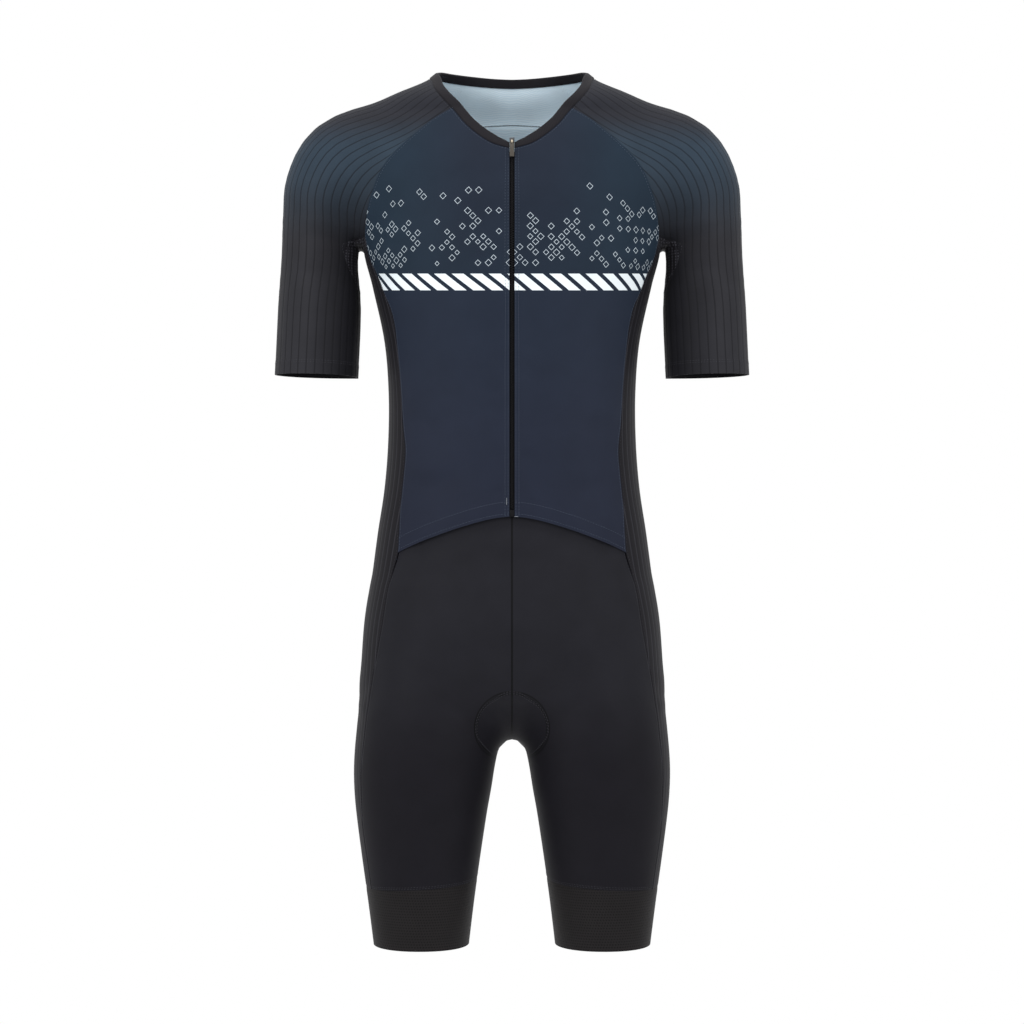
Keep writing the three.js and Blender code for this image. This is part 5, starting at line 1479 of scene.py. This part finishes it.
# %% Slider
SLIDER = {"z": -86, "width": 7, "height": 10, "plate": 1.2, "front": 0.9, "back": 2.8, "clearance": 0.3}
PULL = {"width": 4.8, "length": 17.5, "thickness": 1, "window": 1.4, "window_end": 2.4}
LUG = {"ring": 1.42, "rod": 0.5, "widened": 1.7}
slider_seat = zip_edge(0, [SLIDER["z"]])[0]
slider_out = normals_at(slider_seat[None])[0]
eye_out = SLIDER["front"] + SLIDER["plate"] + SLIDER["clearance"] + PULL["thickness"] / 2


def seat_on_cloth(part):
    """Turns a part from its upright build on to the cloth at the top of the zip."""
    up = np.array([0, -slider_out[2], slider_out[1]]) * -1
    turn = np.stack([[1.0, 0, 0], -slider_out, up], axis=1)
    points = np.array([v.co[:] for v in part.data.vertices]) @ turn.T + slider_seat * MM
    part.data.vertices.foreach_set("co", points.astype(np.float32).ravel())
    part.data.update()


def lug_part():
    """A half hoop that stands on the front plate and holds the tab."""
    pick()
    bpy.ops.mesh.primitive_torus_add(
        major_segments=32, minor_segments=12, major_radius=LUG["ring"] * MM, minor_radius=LUG["rod"] * MM,
        rotation=(0, math.radians(90), 0), location=(0, -eye_out * MM, 0),
    )
    lug = bpy.context.object
    bpy.ops.object.transform_apply(location=True, rotation=True, scale=True)
    with editing():
        bpy.ops.mesh.select_all(action="SELECT")
        bpy.ops.transform.resize(value=(LUG["widened"], 1, 1))
    return lug


def slider_part():
    parts = []
    size = SLIDER["width"], SLIDER["plate"], SLIDER["height"]
    for name, out, rounding, segments in (
        ("slider_front", -SLIDER["front"] - SLIDER["plate"] / 2, 0.45, 3),
        ("slider_back", SLIDER["back"] + SLIDER["plate"] / 2, 0.4, 2),
    ):
        parts.append(start_part(name, size, (0, out, 0)))
        narrow_end(parts[-1], True, 0.7)
        round_edges(parts[-1], rounding, segments)
    span = SLIDER["front"] + SLIDER["back"] + SLIDER["plate"]
    wedge = start_part("slider_wedge", (1.8, span, SLIDER["height"] / 2),
                       (0, (SLIDER["back"] - SLIDER["front"]) / 2, SLIDER["height"] / 4))
    round_edges(wedge, 0.25, 2)
    lug = lug_part()
    parts += [wedge, lug]
    for part in parts:
        part.data.materials.append(bare_zinc if part is lug else slider_enamel)
    return join_parts("zip_slider_body", parts)


slider = slider_part()
seat_on_cloth(slider)
finish_part(slider, "suit")
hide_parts("zip_slider")
slider_ends = *slider.bound_box[0], *slider.bound_box[6]
print("slider, low and high in mm:", [round(v / MM, 1) for v in slider_ends])


# %% Pull tab and bottom box
def pull_part():
    """A flat tab with a window for the lug, made by insetting and bridging a cube's faces."""
    tab = start_part("zip_pull_tab", (PULL["width"], PULL["thickness"], PULL["length"] + 0.5),
                     (0, -eye_out, -(PULL["length"] - 0.5) / 2))
    low, high = -PULL["window_end"] * MM, -0.5 * MM
    with editing():
        for place, axis in ((low, 2), (high, 2), (-PULL["window"] * MM, 0), (PULL["window"] * MM, 0)):
            bpy.ops.mesh.select_all(action="SELECT")
            where = [0, -eye_out * MM, 0]
            where[axis] = place
            bpy.ops.mesh.bisect(plane_co=where, plane_no=[1.0 if k == axis else 0.0 for k in range(3)])
        bpy.ops.mesh.select_all(action="DESELECT")
    for face in tab.data.polygons:
        middle = face.center
        in_window = abs(middle.x) < PULL["window"] * MM and low < middle.z < high
        face.select = in_window and abs(face.normal.y) > 0.9
    with editing():
        bpy.context.tool_settings.mesh_select_mode = (False, False, True)
        bpy.ops.mesh.bridge_edge_loops()
    soften = tab.modifiers.new("soft_edges", "BEVEL")
    soften.width = 0.28 * MM
    soften.segments = 3
    soften.limit_method = "ANGLE"
    pick(tab)
    bpy.ops.object.modifier_apply(modifier="soft_edges")
    return tab


tab = pull_part()
seat_on_cloth(tab)
finish_part(tab, "zip_pull", tab_enamel)
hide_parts("zip_pull")

box_low, box_high = (np.array(corner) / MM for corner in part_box("zip_box"))
bottom_box = start_part("zip_bottom_box", box_high - box_low, (box_low + box_high) / 2)
round_edges(bottom_box, 0.35, 2)
finish_part(bottom_box, "suit", teeth_plastic)
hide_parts("zip_box")
tab_high, box_tall = tab.dimensions.z / MM, box_high[2] - box_low[2]
print("pull tab and box, mm high:", round(tab_high, 1), round(box_tall, 1))

# %% [markdown]
# ## The seat pad
# A pad of thin foam in brushed knit is sewn inside the crotch. It is padded like a cushion: the
# packed pad is remeshed, a cloth simulation swells it a little, and how far any point may move
# is capped, so the pad stays behind the shorts.

# %% Swell the seat pad
PAD = {"voxel_mm": 3.2, "pressure": 4, "steps": 20, "cap_mm": 1.2}


def seat_pad_piece():
    packed = frame["nodes"]["seat_pad"]
    pad = bpy.data.objects.new("seat_pad_cushion", packed.data.copy())
    bpy.context.scene.collection.objects.link(pad)
    pick(pad)
    remesh = pad.modifiers.new("remesh", "REMESH")
    remesh.mode = "VOXEL"
    remesh.voxel_size = PAD["voxel_mm"] * MM
    bpy.ops.object.modifier_apply(modifier="remesh")
    before = np.array([v.co[:] for v in pad.data.vertices])
    swell = pad.modifiers.new("swell", "CLOTH")
    swell.settings.use_pressure = True
    swell.settings.uniform_pressure_force = PAD["pressure"]
    swell.settings.effector_weights.gravity = 0
    swell.settings.quality = 5
    for step in range(PAD["steps"]):
        bpy.context.scene.frame_set(step + 1)
    graph = bpy.context.evaluated_depsgraph_get()
    after = np.array([v.co[:] for v in pad.evaluated_get(graph).data.vertices])
    pad.modifiers.clear()
    bpy.context.scene.frame_set(1)
    move = after - before
    far = np.linalg.norm(move, axis=1)[:, None]
    move *= np.minimum(1, PAD["cap_mm"] * MM / np.maximum(far, 1e-9))
    pad.data.vertices.foreach_set("co", (before + move).astype(np.float32).ravel())
    smooth = pad.modifiers.new("smooth", "SMOOTH")
    smooth.iterations = 4
    bpy.ops.object.modifier_apply(modifier="smooth")
    return pad


pad = seat_pad_piece()
finish_part(pad, "suit", pad_cloth, angle=80)
pad_uv = pad.data.uv_layers.new(name="cloth_mm")
corner_points = np.array([pad.data.vertices[loop.vertex_index].co[:] for loop in pad.data.loops]) / MM
pad_uv.data.foreach_set("uv", corner_points[:, :2].astype(np.float32).ravel())
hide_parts("seat_pad")
print("seat pad faces:", len(pad.data.polygons))

# %% [markdown]
# ## Stitches
# Hems, welts and flatlock seams show their thread. Each stitch is a tiny spindle laid on the
# cloth along its line. There are thousands, so they are built as one mesh for each panel.

# %% Lay the stitches
def line_at(node, skin, edge, distance, mirror=False):
    """Points and normals on a panel's outer face, at one distance from one of its edges."""
    count = skin["at"].shape[0] * skin["at"].shape[1]
    points = np.array([v.co[:] for v in shown[node].data.vertices[:count]]).reshape(skin["at"].shape) / MM
    normal = skin["normal"] * (-1 if mirror else 1, 1, 1)
    away = skin[edge]
    if edge in ("bottom", "top"):
        points, normal, away = points.transpose(1, 0, 2), normal.transpose(1, 0, 2), away.T
    rows = []
    for p, n, d in zip(points, normal, away):
        if d.max() > distance:
            order = np.argsort(d)
            rows.append([np.interp(distance, d[order], q[order, k]) for q in (p, n) for k in range(3)])
    rows = np.array(rows)
    return rows[:, :3], rows[:, 3:]


STITCH_LIFT = 0.12


def stitching(name, lines, thread, pitch=3.2, length=2.3, width=0.45):
    """One mesh of stitches along lines, each a pair of points and normals in millimetres."""
    vertices, faces = [], []
    spindle = [(4, 2, 0), (4, 1, 2), (4, 3, 1), (4, 0, 3), (5, 0, 2), (5, 2, 1), (5, 1, 3), (5, 3, 0)]
    for points, normal in lines:
        run = lengths(points[None], 1)[0]
        if run[-1] < pitch:
            continue
        at = np.arange(pitch / 2, run[-1], pitch)
        seat, out, ahead = (
            np.stack([np.interp(s, run, source[:, k]) for k in range(3)], axis=1)
            for s, source in ((at, points), (at, normal), (at + 0.5, points))
        )
        way = ahead - seat
        way /= np.maximum(np.linalg.norm(way, axis=1), 1e-9)[:, None]
        beside = np.cross(way, out)
        seat = seat + out * STITCH_LIFT
        for p, t, n, s in zip(seat, way, out, beside):
            base = len(vertices)
            vertices += [p + t * length / 2, p - t * length / 2, p + s * width / 2, p - s * width / 2,
                         p + n * width / 2, p - n * width / 2]
            faces += [[base + k for k in face] for face in spindle]
    piece = mesh_piece(name, vertices, faces, None, (thread,))
    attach(piece, "suit")
    return piece


def sew(name, skin, thread, plan):
    """Stitches for both of a pair, from a plan of edges and distances."""
    for side_name, mirror in (("_left", False), ("_right", True)):
        lines = [line_at(name + side_name, skin, edge, distance, mirror) for edge, distance in plan]
        stitching(name + side_name + "_stitches", lines, thread)


sew("front", front_skin, front_thread, [
    ("bottom", 3.0), ("bottom", 15.5), ("start", 1.4), ("start", 4.6), ("end", 2.2), ("top", 1.8),
])
sew("sleeve", sleeve_skin, dark_thread, [("bottom", 12.4), ("bottom", 14.6), ("top", 1.8)])
shorts_plan = [("bottom", 1.6), ("bottom", 3.4), ("end", 1.8)]
sew("shorts_front", shorts_front_skin, dark_thread, shorts_plan)
sew("shorts_back", shorts_back_skin, dark_thread, shorts_plan + [("start", 1.6)])
sew("side", side_skin, dark_thread, [("start", 1.8), ("end", 1.8)])
for name, skin in backs:
    lines = [line_at(name, skin, edge, 1.8) for edge in ALL_EDGES]
    stitching(name + "_stitches", lines, front_thread)


# Inside, the yoke's seam shows as a thin grey line below the collar.
yoke_line, yoke_out = line_at("back_yoke", yoke_skin, "bottom", 1.0)
stitching("yoke_seam_inside_stitches", [(yoke_line - yoke_out * THICK, -yoke_out)], seam_thread, pitch=1.7,
          length=2.0, width=1.3)


# %% Outline of the pad on the shorts, and small tacks at the hem
PAD_OUTLINE = table("x z", [
    (0.5, -664), (9, -666), (18, -672), (28, -679), (34, -687), (38, -700), (38, -711), (31, -723),
    (21, -735),
])


def pad_lines(mirror, inset):
    x = PAD_OUTLINE["x"] - inset * np.linspace(0, 0.8, len(PAD_OUTLINE["x"]))
    z = PAD_OUTLINE["z"] - inset * np.linspace(1, 0.4, len(x))
    s = places(len(x) - 1, 6)
    line = through(np.stack([x, x * 0, z], axis=1), s)
    points = front_points(line[:, 0] * (-1 if mirror else 1), line[:, 2])
    normal = normals_at(points)
    lift = shorts_recess(points) + creases(points)
    return points + normal * lift[:, None], normal


pad_rows = [pad_lines(mirror, inset) for mirror in (False, True) for inset in (0, 2.4)]
stitching("pad_outline_stitches", pad_rows, dark_thread, width=0.6)


def tack(x, z, length, upright, lift=0.8):
    """A short bar of dense stitches on the front."""
    step = np.linspace(-length / 2, length / 2, 9)
    points = front_points(x + (0 if upright else 1) * step, z + (1 if upright else 0) * step)
    normal = normals_at(points)
    rise = flap_lift(points) + creases(points) + lift
    return points + normal * rise[:, None], normal


tacks = [tack(-5.6, -464, 7, True), tack(4.6, -480, 4, False)]
stitching("hem_tacks", tacks, tack_thread, pitch=0.8, length=0.7, width=0.9)
added = [o for o in bpy.data.objects if o.type == "MESH" and o.name not in frame["nodes"]]
triangles = {o.name: sum(len(face.vertices) - 2 for face in o.data.polygons) for o in added}
print("triangles:", sum(triangles.values()), "most in one piece:", max(triangles.values()))

# %% [markdown]
# ## Floor, light and camera
# The photograph is level, from about three metres, on white. The lights are large and soft, one
# to each side in front and one above. The floor lies below the picture.

# %% Set the stage
def floor_disc(z=-1.25, radius=1.0):
    pick()
    bpy.ops.mesh.primitive_circle_add(vertices=96, radius=radius, fill_type="NGON", location=(0, 0, 0))
    disc = bpy.context.object
    disc.name = disc.data.name = "studio_floor"
    with editing():
        bpy.ops.mesh.select_all(action="SELECT")
        bpy.ops.transform.translate(value=(0, 0, z))
    paper, tree, shader = start_material("white_paper", "f2f2f2", Roughness=0.9)
    disc.data.materials.append(paper)
    return disc


def soft_light(name, place, aim, size, watts):
    light = bpy.data.lights.new(name, "AREA")
    light.size = size
    light.energy = watts
    lamp = bpy.data.objects.new(name, light)
    bpy.context.scene.collection.objects.link(lamp)
    lamp.location = place
    lamp.rotation_euler = (Vector(aim) - Vector(place)).to_track_quat("-Z", "Y").to_euler()
    return lamp


floor_disc()
soft_light("left_softbox", (-1.7, -2.0, 0.3), (0, 0, -0.4), 1.2, 26)
soft_light("right_softbox", (1.9, -1.9, 0.1), (0, 0, -0.5), 1.2, 20)
soft_light("top_softbox", (0, -0.5, 1.6), (0, 0, -0.3), 1.4, 22)

world = bpy.data.worlds.new("white_studio")
world.use_nodes = True
world.node_tree.nodes["Background"].inputs[0].default_value = (1, 1, 1, 1)
world.node_tree.nodes["Background"].inputs[1].default_value = 1.0
scene = bpy.context.scene
scene.world = world
scene.view_settings.view_transform = "Standard"

camera = bpy.data.objects.new("photo_camera", bpy.data.cameras.new("photo_camera"))
scene.collection.objects.link(camera)
camera.location = (0, -PHOTO["distance"], PHOTO["height"])
camera.rotation_euler = (math.radians(90), 0, 0)
camera.data.sensor_width = 36
camera.data.lens = 36 * PHOTO["distance"] / (PHOTO["pixel_mm"] * MM * PHOTO["width"])
scene.camera = camera
print("lens, mm:", round(camera.data.lens, 2))
